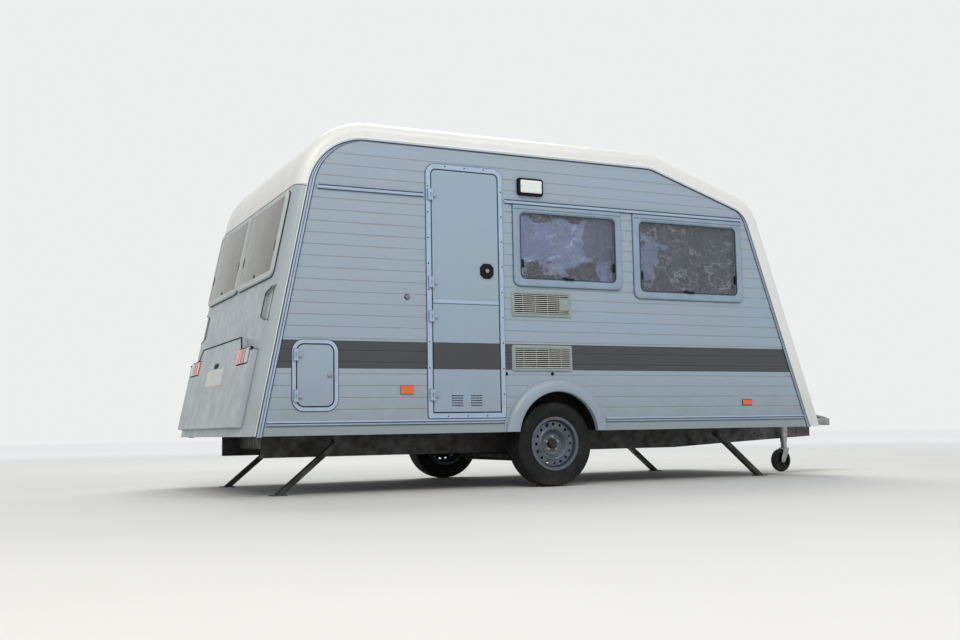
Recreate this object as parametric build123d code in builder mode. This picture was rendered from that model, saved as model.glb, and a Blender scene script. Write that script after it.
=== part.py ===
"""Travel caravan, parked on its wheels, nose wheel and corner legs.

Millimetres. +X is forward, +Y is the caravan's left, +Z is up. The origin is on the ground under the
middle of the overall length, on the centre line. The door is in the right side, at -Y.
Places along the body are measured from the axle, heights from the ground.
"""

import math
import os

from build123d import *

os.makedirs("parts", exist_ok=True)

# Overall
rear_overhang = 2318.0
front_foot = 2519.0
drawbar_reach = 1073.0
overall_length = rear_overhang + front_foot + drawbar_reach
body_width = 2200.0
half_width = body_width / 2
rear_end_x = -overall_length / 2
coupling_end_x = overall_length / 2
axle_x = rear_end_x + rear_overhang
sides = (("right", -1), ("left", 1))

# Side outline of the body: a leaning rear, a flat roof, a sloped nose and a leaning front
roof_z = 2553.0
body_bottom = 400.0
rear_foot = 2289.0
rear_lean = math.radians(11.8)
nose_break = 907.0
nose_pitch = math.radians(18.1)
front_lean = math.radians(18.85)
rear_bend_r = 520.0
nose_bend_r = 450.0
brow_r = 340.0
edge_r = 80.0
wall_t = 30.0
floor_t = 45.0
rear_foot_x = axle_x - rear_foot
nose_break_x = axle_x + nose_break
front_foot_x = axle_x + front_foot

# Where the side sheets end and the edge mouldings begin, drawn in from the roof, rear and front faces
sheet_top = 138.0
sheet_rear = 85.0
sheet_front = 150.0
strip_lap = 6.0
strip_top = 12.0
strip_rear = 40.0
strip_front = 24.0
strip_t = 5.0
sheet_top_z = roof_z - sheet_top

# Ribs rolled into the side sheets: the grooves between them, from the first one below the sheet's top
rib_drop = 110.0
rib_pitch = 79.0
groove_w = 12.0
groove_depth = 2.5

# Seams between the moulded shell's panels, by their drop from the roof
rear_seam_z = roof_z - 475.0
front_seam_z = roof_z - 493.0
rear_cap_seam = 1451.0
front_cap_seam = 811.0

# Wheels, hubs and axle
tyre_r = 310.0
tyre_width = 185.0
tyre_tread_width = 118.0
tyre_belly_r = 262.0
wheel_y = 990.0
rim_flange_r = 195.0
rim_seat_r = 178.0
rim_well_r = 152.0
rim_width = 168.0
rim_lip = 6.0
rim_t = 5.0
disc_out = 58.0
disc_hub_out = 24.0
vent_circle_r = 141.0
vent_ring_w = 38.0
vent_hole_r = 11.0
vent_holes = 16
hub_cap_r = 33.0
hub_cap_l = 40.0
drum_r = 128.0
drum_l = 58.0
drum_gap = 5.0
backplate_t = 4.0
stub_r = 17.0
stub_clear = 0.05
axle_tube_r = 42.0
axle_tube_t = 8.0
arm_length = 130.0
arm_width = 62.0
arm_t = 34.0
arm_gap = 14.0

# Wheel arches
arch_z = 360.0
arch_lip_r = 326.0
arch_cut_r = 392.0
arch_flange_r = 432.0
arch_stand_out = 55.0
arch_lip_t = 5.0
arch_lip_w = 24.0
box_t = 4.0
box_r = 404.0
box_inner_y = 830.0

# Chassis and drawbar
member_depth = 150.0
member_flange = 45.0
member_t = 4.0
member_y = 600.0
member_rear = 2050.0
drawbar_bend = 1400.0
drawbar_tip_y = 70.0
drawbar_tip_depth = 90.0
cross_depth = 90.0
cross_width = 40.0
cross_places = (("rear", -1900.0), ("middle", -700.0), ("front", 1150.0))

# Body sill
sill_top_z = 495.0
sill_height = 30.0
sill_proud = 14.0

# Door
door_rear = 1010.0
door_front = 412.0
door_sill_z = 503.0
door_head_drop = 122.0
door_head_z = sheet_top_z - door_head_drop
door_corner_r = 75.0
door_foot_r = 14.0
door_frame_w = 36.0
door_frame_proud = 8.0
door_split_z = 1330.0
door_gap = 7.0
door_leaf_t = 32.0
door_hinge_zs = {"upper": (door_head_z - 223.0, 1451.0), "lower": (1211.0, 665.0)}
hinge_pin_r = 4.0
hinge_barrel_r = 8.0
hinge_barrel_l = 78.0
hinge_knuckle_gap = 0.5
hinge_clear = 0.3
hinge_out = 14.0
hinge_plate_t = 4.0
hinge_leaf_w = 36.0
knuckle_l = hinge_barrel_l / 3
lock_x = 547.0
lock_z = 1545.0
lock_width = 94.0
lock_height = 108.0
lock_t = 12.0
knob_r = 16.0
knob_l = 22.0
louvre_groups = (835.0, 689.0)
louvre_width = 90.0
louvre_height = 8.0
louvre_pitch = 17.0
louvre_count = 5
louvre_z = 628.0
louvre_depth = 8.0

# Locker in the right side, behind the door
locker_rear = 1971.0
locker_front = 1659.0
locker_bottom_z = 560.0
locker_top_z = 1031.0
locker_corner_r = 80.0
locker_frame_w = 26.0
locker_gap = 7.0
locker_hinge_zs = (930.0, 660.0)

# Rails along the sides, above the windows: side (-1 right), first end, last end
rail_drop = 363.0
rail_z = sheet_top_z - rail_drop
rail_height = 26.0
rail_proud = 16.0
rails = ((-1, -1802.0, -1024.0), (-1, -398.0, 1744.0), (1, -1802.0, 1744.0))

# Windows: name, first edge, last edge, bottom and top; edges along the body or across it
window_head_gap = 6.0
window_head_z = rail_z - window_head_gap
window_frame_w = 58.0
window_frame_proud = 22.0
window_corner_r = 55.0
window_lap = 16.0
pane_t = 5.0
pane_inset = 6.0
front_side_window = ("front", 704.0, 1731.0, 1394.0, window_head_z)
side_windows = {
    "right": (("middle", -329.0, 594.0, 1450.0, window_head_z), front_side_window),
    "left": (("rear", -1560.0, -637.0, 1450.0, window_head_z), front_side_window),
}
rear_window_z = (1458.0, rear_seam_z - 28.0)
front_window_z = (1400.0, front_seam_z - 30.0)
end_window_ys = ((-1000.0, -22.0), (22.0, 1000.0))

# Vents in the right side: bottom and top of each, and how many slats of its front column are left closed
vent_rear = 350.0
vent_front = 140.0
vent_proud = 12.0
vent_border = 22.0
vents = ((1230.0, 1415.0, 5), (834.0, 1018.0, 0))
vent_slats = 9
vent_slat_t = 5.0
vent_columns = 3
vent_post_w = 12.0
vent_back_t = 4.0

# Lamp over the door
lamp_rear = 288.0
lamp_front = 80.0
lamp_drop = 168.0
lamp_height = 128.0
lamp_top_z = sheet_top_z - lamp_drop
lamp_bottom_z = lamp_top_z - lamp_height
lamp_proud = 42.0
lamp_rim = 14.0
lens_proud = 9.0

# Roof hatch
hatch_x = -150.0
hatch_size = 500.0
hatch_frame_w = 50.0
hatch_frame_h = 36.0
hatch_lid_h = 32.0
hatch_gap = 6.0
hatch_skin = 5.0
hatch_hinge_out = 14.0
hatch_hinge_ys = (-140.0, 140.0)

# Gas locker in the front
gas_half_width = 640.0
gas_bottom_z = 500.0
gas_top_z = 1010.0
gas_corner_r = 40.0
gas_gap = 7.0
gas_depth = 480.0
gas_wall_t = 12.0
gas_hinge_ys = (-430.0, 430.0)

# Rear lower moulding and lamps
valance_bottom_z = 455.0
valance_top_z = 1070.0
valance_shoulder_z = 985.0
valance_end_z = 962.0
valance_step_y = 700.0
valance_step_run = 80.0
valance_half_width = 1010.0
lamp_ys = (-790.0, 790.0)
tail_lamp_width = 330.0
tail_lamp_height = 120.0
tail_lamp_z = 930.0
tail_lamp_t = 22.0

# Loop handles on the front, and grab recesses moulded into the rear corners
handle_length = 190.0
handle_out = 48.0
handle_bar_r = 9.0
handle_bend_r = 26.0
handle_y = 880.0
handle_z = 1115.0
recess_z = 1275.0
recess_inner_y = 880.0
recess_inner_h = 160.0
recess_outer_h = 265.0
recess_depth = 18.0

# Coupling head and overrun gear on the drawbar
ball_r = 25.0
ball_clear = 0.5
ball_z = 430.0
socket_depth = 24.0
coupling_nose = 40.0
coupling_crown = 14.0
neck_width = 56.0
handle_rise = 40.0
handle_reach = 132.0
handle_t = 12.0
handle_w = 26.0
draw_axis_z = 444.0
draw_tube_r = 25.0
draw_tube_front = 50.0
gaiter_r = 38.0
gaiter_front = 130.0
gaiter_back = 262.0
housing_r = 36.0
housing_back = 560.0
saddle_t = 8.0
saddle_width = 150.0
housing_foot_w = 44.0
lever_length = 300.0
lever_width = 24.0
lever_t = 8.0
lever_lean = math.radians(35)
lever_place = 60.0
lever_boss_l = 18.0
grip_length = 110.0
grip_r = 14.0

# Nose wheel
jockey_x = 2820.0
jockey_stand_off = 10.0
jockey_wheel_r = 100.0
jockey_wheel_w = 50.0
jockey_trail = 42.0
jockey_outer_r = 30.0
jockey_tube_t = 3.0
jockey_slide_clear = 0.3
jockey_outer_bottom = 262.0
jockey_outer_top = 700.0
jockey_inner_top = 560.0
jockey_fork_t = 5.0
jockey_fork_gap = 6.0
jockey_pivot_l = 60.0
jockey_crown_gap = 6.0
jockey_axle_r = 6.0
jockey_axle_clear = 0.05
jockey_clamp_h = 90.0
jockey_crank_l = 120.0
jockey_crank_r = 7.0
jockey_hub_r = 18.0
jockey_hub_w = 42.0
jockey_web_w = 14.0
jockey_tyre_t = 32.0
jockey_chamfer = 12.0

# Corner legs: place along the body and the way the foot points
legs = (("rear", -1560.0, -1), ("front", 1700.0, 1))
leg_y = 760.0
leg_fold = math.radians(40)
leg_width = 56.0
leg_depth = 34.0
leg_t = 4.0
leg_pivot_z = 346.0
leg_pivot_r = 7.0
leg_pivot_clear = 0.3
leg_foot = 110.0
leg_foot_t = 6.0
leg_side_gap = 6.0
leg_bracket_t = 5.0


def meet(line_a, line_b):
    """Point where two lines cross; a line is a point and a direction."""
    (ax, az), (adx, adz) = line_a
    (bx, bz), (bdx, bdz) = line_b
    run = ((bx - ax) * bdz - (bz - az) * bdx) / (adx * bdz - adz * bdx)
    return (ax + run * adx, az + run * adz)


def rear_face_x(z, inset=0.0):
    return rear_foot_x + inset / math.cos(rear_lean) + (z - body_bottom) * math.tan(rear_lean)


def front_face_x(z, inset=0.0):
    return front_foot_x - inset / math.cos(front_lean) - (z - body_bottom) * math.tan(front_lean)


def outline(top, rear, front, bottom=0.0):
    """Side outline of the body, drawn in by so much from each face."""
    sole_z = body_bottom + bottom
    roof = ((0, roof_z - top), (1, 0))
    back = ((rear_face_x(sole_z, rear), sole_z), (math.sin(rear_lean), math.cos(rear_lean)))
    brow = ((front_face_x(sole_z, front), sole_z), (-math.sin(front_lean), math.cos(front_lean)))
    nose_start = (nose_break_x - top * math.sin(nose_pitch), roof_z - top * math.cos(nose_pitch))
    nose = (nose_start, (math.cos(nose_pitch), -math.sin(nose_pitch)))
    corners = [back[0], meet(back, roof), meet(roof, nose), meet(nose, brow), brow[0]]
    bends = [rear_bend_r - (top + rear) / 2, nose_bend_r - top, brow_r - (top + front) / 2]
    with BuildSketch() as shape:
        with BuildLine():
            FilletPolyline(*corners, radius=bends)
            Line(corners[-1], corners[0])
        make_face()
    return shape.sketch


def panel(x0, x1, z0, z1, corner):
    """Rounded rectangle between two edges and two heights."""
    with BuildSketch() as sheet:
        with Locations(((x0 + x1) / 2, (z0 + z1) / 2)):
            RectangleRounded(x1 - x0, z1 - z0, corner)
    return sheet.sketch


def frame_ring(x0, x1, z0, z1, width, corner):
    """Rounded rectangular ring between two edges and two heights."""
    with BuildSketch() as ring:
        add(panel(x0, x1, z0, z1, corner))
        inner_corner = max(corner - width, 8)
        add(panel(x0 + width, x1 - width, z0 + width, z1 - width, inner_corner), mode=Mode.SUBTRACT)
    return ring.sketch


def doorway(inset):
    """Door outline drawn in from the frame's outer edge: round at the head, nearly square at the foot."""
    x0, x1 = axle_x - door_rear + inset, axle_x - door_front - inset
    z0, z1 = door_sill_z + inset, door_head_z - inset
    with BuildSketch() as shape:
        with Locations(((x0 + x1) / 2, (z0 + z1) / 2)):
            Rectangle(x1 - x0, z1 - z0)
        fillet(shape.vertices().group_by(Axis.Y)[-1], door_corner_r - inset)
        fillet(shape.vertices().group_by(Axis.Y)[0], max(door_foot_r - inset, 3))
    return shape.sketch


def side_plane(sign, y):
    """Plane facing out of one side, with X along the body and Y up."""
    return Plane(origin=(0, sign * y, 0), x_dir=(1, 0, 0), z_dir=(0, -1, 0))


def wheel_plane(sign, y, z):
    """Plane through a wheel's axis, with X up from the axis and Y out of the side."""
    return Plane(origin=(axle_x, sign * y, z), x_dir=(0, 0, 1), z_dir=(-sign, 0, 0))


def moulded_shell():
    """Roof, rear and front in one piece, with rounded edges and openings for the flat sides."""
    clear = 60.0
    with BuildPart() as shell:
        with BuildSketch(side_plane(1, half_width)):
            add(outline(0, 0, 0))
        extrude(amount=body_width)
        outer = [
            edge
            for edge in shell.edges()
            if abs(edge.bounding_box().size.Y) < 0.01 and edge.bounding_box().max.Z > body_bottom + 1
        ]
        fillet(outer, edge_r)
        with BuildSketch(side_plane(1, half_width - wall_t)):
            add(outline(wall_t, wall_t, wall_t, -clear))
        extrude(amount=body_width - 2 * wall_t, mode=Mode.SUBTRACT)
        with BuildSketch(side_plane(1, half_width)):
            add(outline(sheet_top, sheet_rear, sheet_front, -clear))
        extrude(amount=body_width, mode=Mode.SUBTRACT)
    return shell.part


shell = moulded_shell()

# Planes on the outside of the leaning rear and front, with X across the body and Y up the slope
rear_plane = Plane(
    origin=(rear_foot_x, 0, body_bottom),
    x_dir=(0, -1, 0),
    z_dir=(-math.cos(rear_lean), 0, math.sin(rear_lean)),
)
front_plane = Plane(
    origin=(front_foot_x, 0, body_bottom),
    x_dir=(0, 1, 0),
    z_dir=(math.cos(front_lean), 0, math.sin(front_lean)),
)


def up_rear(z):
    return (z - body_bottom) / math.cos(rear_lean)


def window_hole(x0, x1, z0, z1):
    """Opening in the wall behind a window frame that laps it."""
    lap = window_lap
    return panel(x0 + lap, x1 - lap, z0 + lap, z1 - lap, window_corner_r - lap)


def up_front(z):
    return (z - body_bottom) / math.cos(front_lean)


rear_window_v = [up_rear(z) for z in rear_window_z]
front_window_v = [up_front(z) for z in front_window_z]
rear_windows = [(y0, y1, *rear_window_v) for y0, y1 in end_window_ys]
front_windows = [(y0, y1, *front_window_v) for y0, y1 in end_window_ys]
gas_v = (up_front(gas_bottom_z), up_front(gas_top_z))

# Rear cap, roof and front cap
cap_pieces = (
    ("rear_cap", None, axle_x - rear_cap_seam, rear_seam_z),
    ("roof_panel", axle_x - rear_cap_seam, axle_x + front_cap_seam, 0.0),
    ("front_cap", axle_x + front_cap_seam, None, front_seam_z),
)
hatch_cx = axle_x + hatch_x
for name, x_from, x_to, z_from in cap_pieces:
    with BuildPart() as cap:
        add(shell)
        if x_from is not None:
            split(bisect_by=Plane.YZ.offset(x_from), keep=Keep.TOP)
        if x_to is not None:
            split(bisect_by=Plane.YZ.offset(x_to), keep=Keep.BOTTOM)
        split(bisect_by=Plane.XY.offset(z_from), keep=Keep.TOP)
        if name == "roof_panel":
            with BuildSketch(Plane.XY.offset(roof_z + 1)):
                with Locations((hatch_cx, 0)):
                    Rectangle(hatch_size - 2 * hatch_frame_w, hatch_size - 2 * hatch_frame_w)
            extrude(amount=-wall_t - 2, mode=Mode.SUBTRACT)
    cap.part.label = name
    export_step(cap.part, f"parts/{name}.step")

# Rear wall
with BuildPart() as rear_wall:
    add(shell)
    split(bisect_by=Plane.YZ.offset(axle_x), keep=Keep.BOTTOM)
    split(bisect_by=Plane.XY.offset(rear_seam_z), keep=Keep.BOTTOM)
    with BuildSketch(rear_plane.offset(1)):
        for window in rear_windows:
            add(window_hole(*window))
    extrude(amount=-wall_t - 2, mode=Mode.SUBTRACT)
    with BuildSketch(rear_plane.offset(1)):
        for sign in (-1, 1):
            with BuildLine():
                Polyline(
                    (sign * recess_inner_y, up_rear(recess_z - recess_inner_h / 2)),
                    (sign * recess_inner_y, up_rear(recess_z + recess_inner_h / 2)),
                    (sign * half_width, up_rear(recess_z + recess_outer_h / 2)),
                    (sign * half_width, up_rear(recess_z - recess_outer_h / 2)),
                    close=True,
                )
            make_face()
    extrude(amount=-recess_depth - 1, mode=Mode.SUBTRACT)
rear_wall.part.label = "rear_wall"
export_step(rear_wall.part, "parts/rear_wall.step")

# Front wall, with the opening of the gas locker
with BuildPart() as front_wall:
    add(shell)
    split(bisect_by=Plane.YZ.offset(axle_x), keep=Keep.TOP)
    split(bisect_by=Plane.XY.offset(front_seam_z), keep=Keep.BOTTOM)
    with BuildSketch(front_plane.offset(1)):
        for window in front_windows:
            add(window_hole(*window))
        add(panel(-gas_half_width, gas_half_width, gas_v[0], gas_v[1], gas_corner_r))
    extrude(amount=-wall_t - 2, mode=Mode.SUBTRACT)
front_wall.part.label = "front_wall"
export_step(front_wall.part, "parts/front_wall.step")

# Side walls: ribbed sandwich panels with the door, window, locker and wheel openings
rib_count = int((sheet_top_z - rib_drop - sill_top_z) // rib_pitch) + 1
groove_zs = [sheet_top_z - rib_drop - index * rib_pitch for index in range(rib_count)]
for side, sign in sides:
    face = side_plane(sign, half_width)
    inward = sign * wall_t
    with BuildPart() as side_wall:
        with BuildSketch(face):
            add(outline(sheet_top, sheet_rear, sheet_front))
            with Locations((axle_x, arch_z)):
                Circle(arch_cut_r, mode=Mode.SUBTRACT)
            for _, x0, x1, z0, z1 in side_windows[side]:
                add(window_hole(axle_x + x0, axle_x + x1, z0, z1), mode=Mode.SUBTRACT)
            if side == "right":
                locker_hole = panel(
                    axle_x - locker_rear + locker_frame_w / 2,
                    axle_x - locker_front - locker_frame_w / 2,
                    locker_bottom_z + locker_frame_w / 2,
                    locker_top_z - locker_frame_w / 2,
                    locker_corner_r - locker_frame_w / 2,
                )
                add(doorway(door_frame_w / 2), mode=Mode.SUBTRACT)
                add(locker_hole, mode=Mode.SUBTRACT)
        extrude(amount=inward)
        with BuildSketch(Plane.YZ.offset(rear_end_x)):
            for z in groove_zs:
                Polygon(
                    (sign * half_width, z - groove_w / 2),
                    (sign * half_width, z + groove_w / 2),
                    (sign * (half_width - groove_depth), z),
                    align=None,
                )
        extrude(amount=overall_length, mode=Mode.SUBTRACT)
    side_wall.part.label = f"side_wall_{side}"
    export_step(side_wall.part, f"parts/side_wall_{side}.step")

# Floor, notched for the wheel boxes
with BuildPart() as floor:
    with BuildSketch(side_plane(1, half_width - wall_t)):
        add(outline(wall_t, wall_t, wall_t))
        with Locations((axle_x, body_bottom + floor_t)):
            Rectangle(overall_length, roof_z, align=(Align.CENTER, Align.MIN), mode=Mode.SUBTRACT)
    extrude(amount=body_width - 2 * wall_t)
    with BuildSketch(Plane.XY.offset(body_bottom)):
        for _, sign in sides:
            with Locations((axle_x, sign * (box_inner_y + half_width) / 2)):
                Rectangle(2 * box_r, half_width - box_inner_y)
    extrude(amount=floor_t, mode=Mode.SUBTRACT)
floor.part.label = "floor"
export_step(floor.part, "parts/floor.step")

# Wheel boxes over the tyres, closed inside
with BuildPart() as wheel_boxes:
    for _, sign in sides:
        with BuildSketch(side_plane(sign, half_width - wall_t)):
            with Locations((axle_x, arch_z)):
                Circle(box_r)
            with Locations((axle_x, body_bottom)):
                Rectangle(3 * box_r, 3 * box_r, align=(Align.CENTER, Align.MAX), mode=Mode.SUBTRACT)
        extrude(amount=sign * (half_width - wall_t - box_inner_y))
        with BuildSketch(side_plane(sign, half_width - wall_t)):
            with Locations((axle_x, arch_z)):
                Circle(box_r - box_t)
        extrude(amount=sign * (half_width - wall_t - box_inner_y - box_t), mode=Mode.SUBTRACT)
wheel_boxes.part.label = "wheel_boxes"
export_step(wheel_boxes.part, "parts/wheel_boxes.step")

# Arch flanges: a ring that swells out from the side to its lip over the tyre
with BuildPart() as arch_flanges:
    for _, sign in sides:
        with BuildSketch(wheel_plane(sign, half_width, arch_z)):
            with BuildLine():
                Polyline(
                    (arch_flange_r, 0),
                    (arch_cut_r, 0),
                    (arch_lip_r + arch_lip_t, arch_stand_out - arch_lip_t),
                    (arch_lip_r + arch_lip_t, 0),
                    (arch_lip_r, 0),
                    (arch_lip_r, arch_stand_out),
                    (arch_lip_r + arch_lip_w, arch_stand_out),
                    (arch_flange_r, arch_lip_t),
                    close=True,
                )
            make_face()
        revolve(axis=Axis((axle_x, 0, arch_z), (0, 1, 0)))
    split(bisect_by=Plane.XY.offset(body_bottom), keep=Keep.TOP)
arch_flanges.part.label = "arch_flanges"
export_step(arch_flanges.part, "parts/arch_flanges.step")

# Sill rails, broken by the arch flanges and, on the right, by the door frame
arch_half = math.sqrt(arch_flange_r**2 - (sill_top_z - sill_height - arch_z) ** 2) + 3
sill_rear_x = rear_face_x(sill_top_z, sheet_rear + strip_rear)
sill_front_x = front_face_x(sill_top_z, sheet_front + strip_front)
sill_runs = ((sill_rear_x, axle_x - arch_half), (axle_x + arch_half, sill_front_x))
with BuildPart() as sill_rails:
    for _, sign in sides:
        with BuildSketch(side_plane(sign, half_width)):
            for x0, x1 in sill_runs:
                with Locations(((x0 + x1) / 2, sill_top_z)):
                    Rectangle(x1 - x0, sill_height, align=(Align.CENTER, Align.MAX))
        extrude(amount=-sign * sill_proud)
sill_rails.part.label = "sill_rails"
export_step(sill_rails.part, "parts/sill_rails.step")

# Edge strips along the joint of side sheet and moulding
with BuildPart() as edge_strips:
    for _, sign in sides:
        with BuildSketch(side_plane(sign, half_width)):
            add(outline(sheet_top - strip_lap, sheet_rear - strip_lap, sheet_front - strip_lap))
            add(
                outline(
                    sheet_top + strip_top - strip_lap,
                    sheet_rear + strip_rear - strip_lap,
                    sheet_front + strip_front - strip_lap,
                    -10,
                ),
                mode=Mode.SUBTRACT,
            )
        extrude(amount=-sign * strip_t)
edge_strips.part.label = "edge_strips"
export_step(edge_strips.part, "parts/edge_strips.step")

# Rails above the windows
with BuildPart() as window_rails:
    for sign, x0, x1 in rails:
        with BuildSketch(side_plane(sign, half_width)):
            add(panel(axle_x + x0, axle_x + x1, rail_z, rail_z + rail_height, 6))
        extrude(amount=-sign * rail_proud)
window_rails.part.label = "window_rails"
export_step(window_rails.part, "parts/window_rails.step")

# Windows: frames that lap the wall outside and reach through it, and the panes held in them
window_sets = []
for side, sign in sides:
    placed = [(axle_x + x0, axle_x + x1, z0, z1) for _, x0, x1, z0, z1 in side_windows[side]]
    window_sets.append((side_plane(sign, half_width), -sign, placed))
window_sets += [(rear_plane, 1, rear_windows), (front_plane, 1, front_windows)]
with BuildPart() as window_frames:
    for plane, out, windows in window_sets:
        for x0, x1, z0, z1 in windows:
            with BuildSketch(plane):
                add(frame_ring(x0, x1, z0, z1, window_frame_w, window_corner_r))
            extrude(amount=out * window_frame_proud)
            lap_box = (x0 + window_lap, x1 - window_lap, z0 + window_lap, z1 - window_lap)
            with BuildSketch(plane):
                add(frame_ring(*lap_box, window_frame_w - window_lap, window_corner_r - window_lap))
            extrude(amount=-out * wall_t)
window_frames.part.label = "window_frames"
export_step(window_frames.part, "parts/window_frames.step")
with BuildPart() as window_panes:
    for plane, out, windows in window_sets:
        for x0, x1, z0, z1 in windows:
            pane_box = (x0 + window_frame_w, x1 - window_frame_w, z0 + window_frame_w, z1 - window_frame_w)
            with BuildSketch(plane.offset(out * (window_frame_proud - pane_inset))):
                add(panel(*pane_box, 8))
            extrude(amount=-out * pane_t)
window_panes.part.label = "window_panes"
export_step(window_panes.part, "parts/window_panes.step")


def knuckle(plane, low, plates, bored):
    """One knuckle of a hinge: a barrel round the pin and the plates that tie it to its leaf."""
    with BuildPart() as piece:
        with BuildSketch(plane.offset(low)):
            Circle(hinge_barrel_r)
            for x0, x1, y0, y1 in plates:
                with Locations(((x0 + x1) / 2, (y0 + y1) / 2)):
                    Rectangle(x1 - x0, y1 - y0)
            if bored:
                Circle(hinge_pin_r + hinge_clear, mode=Mode.SUBTRACT)
        extrude(amount=knuckle_l - hinge_knuckle_gap)
    return piece.part


def hinge_pins(plane, places, plates):
    """Fixed half of a row of hinges: two outer knuckles on each pin."""
    with BuildPart() as row:
        for place in places:
            add(knuckle(plane, place - hinge_barrel_l / 2, plates, False))
            add(knuckle(plane, place + knuckle_l / 2, plates, False))
            with BuildSketch(plane.offset(place - hinge_barrel_l / 2)):
                Circle(hinge_pin_r)
            extrude(amount=hinge_barrel_l)
    return row.part


def hinge_barrels(plane, places, plates):
    """Moving half of a row of hinges: the middle knuckle on each pin."""
    with BuildPart() as row:
        for place in places:
            add(knuckle(plane, place - knuckle_l / 2, plates, True))
    return row.part


# Door frame, with the fixed knuckles and pins of the hinges
door_face = side_plane(-1, half_width)
leaf_inset = door_frame_w + door_gap
leaf_rear_x = axle_x - door_rear + leaf_inset
leaf_middle_x = axle_x - (door_rear + door_front) / 2
leaf_sill_z = door_sill_z + leaf_inset
leaf_head_z = door_head_z - leaf_inset
hinge_x = leaf_rear_x - door_gap / 2
hinge_y = -half_width - door_frame_proud - hinge_out
door_hinge = Plane(origin=(hinge_x, hinge_y, 0), x_dir=(1, 0, 0), z_dir=(0, 0, 1))
side_fixed_plates = ((8 - door_frame_w, 0, 0, hinge_out),)
side_moving_plates = (
    (0, hinge_leaf_w, 0, hinge_out - hinge_plate_t),
    (door_gap / 2, hinge_leaf_w, 0, hinge_out),
)
with BuildPart() as door_frame:
    with BuildSketch(door_face):
        add(doorway(0))
        add(doorway(door_frame_w), mode=Mode.SUBTRACT)
    extrude(amount=door_frame_proud)
    with BuildSketch(door_face):
        add(doorway(door_frame_w / 2))
        add(doorway(door_frame_w), mode=Mode.SUBTRACT)
    extrude(amount=-wall_t)
    for zs in door_hinge_zs.values():
        add(hinge_pins(door_hinge, zs, side_fixed_plates))
door_frame.part.label = "door_frame"
export_step(door_frame.part, "parts/door_frame.step")

# Door leaves, flush with the frame, hung on the middle knuckles
leaves = (
    ("door_upper", door_split_z + door_gap / 2, leaf_head_z, "upper"),
    ("door_lower", leaf_sill_z, door_split_z - door_gap / 2, "lower"),
)
leaf_face = side_plane(-1, half_width + door_frame_proud)
for name, z0, z1, row in leaves:
    with BuildPart() as leaf:
        with BuildSketch(leaf_face):
            add(doorway(leaf_inset))
            with Locations((leaf_middle_x, z0)):
                Rectangle(door_rear, roof_z, align=(Align.CENTER, Align.MAX), mode=Mode.SUBTRACT)
            with Locations((leaf_middle_x, z1)):
                Rectangle(door_rear, roof_z, align=(Align.CENTER, Align.MIN), mode=Mode.SUBTRACT)
        extrude(amount=-door_leaf_t)
        if name == "door_lower":
            with BuildSketch(leaf_face):
                for group in louvre_groups:
                    for index in range(louvre_count):
                        z = louvre_z + (index - (louvre_count - 1) / 2) * louvre_pitch
                        with Locations((axle_x - group + louvre_width / 2, z)):
                            SlotOverall(louvre_width, louvre_height)
            extrude(amount=-louvre_depth, mode=Mode.SUBTRACT)
        add(hinge_barrels(door_hinge, door_hinge_zs[row], side_moving_plates))
    leaf.part.label = name
    export_step(leaf.part, f"parts/{name}.step")

# Door lock: a square rosette with a round knob
with BuildPart() as door_lock:
    with BuildSketch(leaf_face):
        with Locations((axle_x - lock_x, lock_z)):
            RectangleRounded(lock_width, lock_height, 14)
    extrude(amount=lock_t)
    with BuildSketch(leaf_face.offset(lock_t)):
        with Locations((axle_x - lock_x, lock_z)):
            Circle(knob_r)
    extrude(amount=knob_l)
door_lock.part.label = "door_lock"
export_step(door_lock.part, "parts/door_lock.step")

# Locker frame and lid
locker_box = (axle_x - locker_rear, axle_x - locker_front, locker_bottom_z, locker_top_z)
locker_hinge_x = locker_box[0] + locker_frame_w + locker_gap / 2
locker_hinge = Plane(origin=(locker_hinge_x, hinge_y, 0), x_dir=(1, 0, 0), z_dir=(0, 0, 1))
locker_fixed_plates = ((6 - locker_frame_w, 0, 0, hinge_out),)
locker_moving_plates = (
    (0, hinge_leaf_w, 0, hinge_out - hinge_plate_t),
    (locker_gap / 2, hinge_leaf_w, 0, hinge_out),
)
with BuildPart() as locker_frame:
    with BuildSketch(door_face):
        add(frame_ring(*locker_box, locker_frame_w, locker_corner_r))
    extrude(amount=door_frame_proud)
    with BuildSketch(door_face):
        half = locker_frame_w / 2
        add(
            frame_ring(
                locker_box[0] + half,
                locker_box[1] - half,
                locker_box[2] + half,
                locker_box[3] - half,
                half,
                locker_corner_r - half,
            )
        )
    extrude(amount=-wall_t)
    add(hinge_pins(locker_hinge, locker_hinge_zs, locker_fixed_plates))
locker_frame.part.label = "locker_frame"
export_step(locker_frame.part, "parts/locker_frame.step")

lid_inset = locker_frame_w + locker_gap
with BuildPart() as locker_lid:
    with BuildSketch(leaf_face):
        add(
            panel(
                locker_box[0] + lid_inset,
                locker_box[1] - lid_inset,
                locker_box[2] + lid_inset,
                locker_box[3] - lid_inset,
                locker_corner_r - lid_inset,
            )
        )
    extrude(amount=-door_leaf_t)
    add(hinge_barrels(locker_hinge, locker_hinge_zs, locker_moving_plates))
locker_lid.part.label = "locker_lid"
export_step(locker_lid.part, "parts/locker_lid.step")

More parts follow.
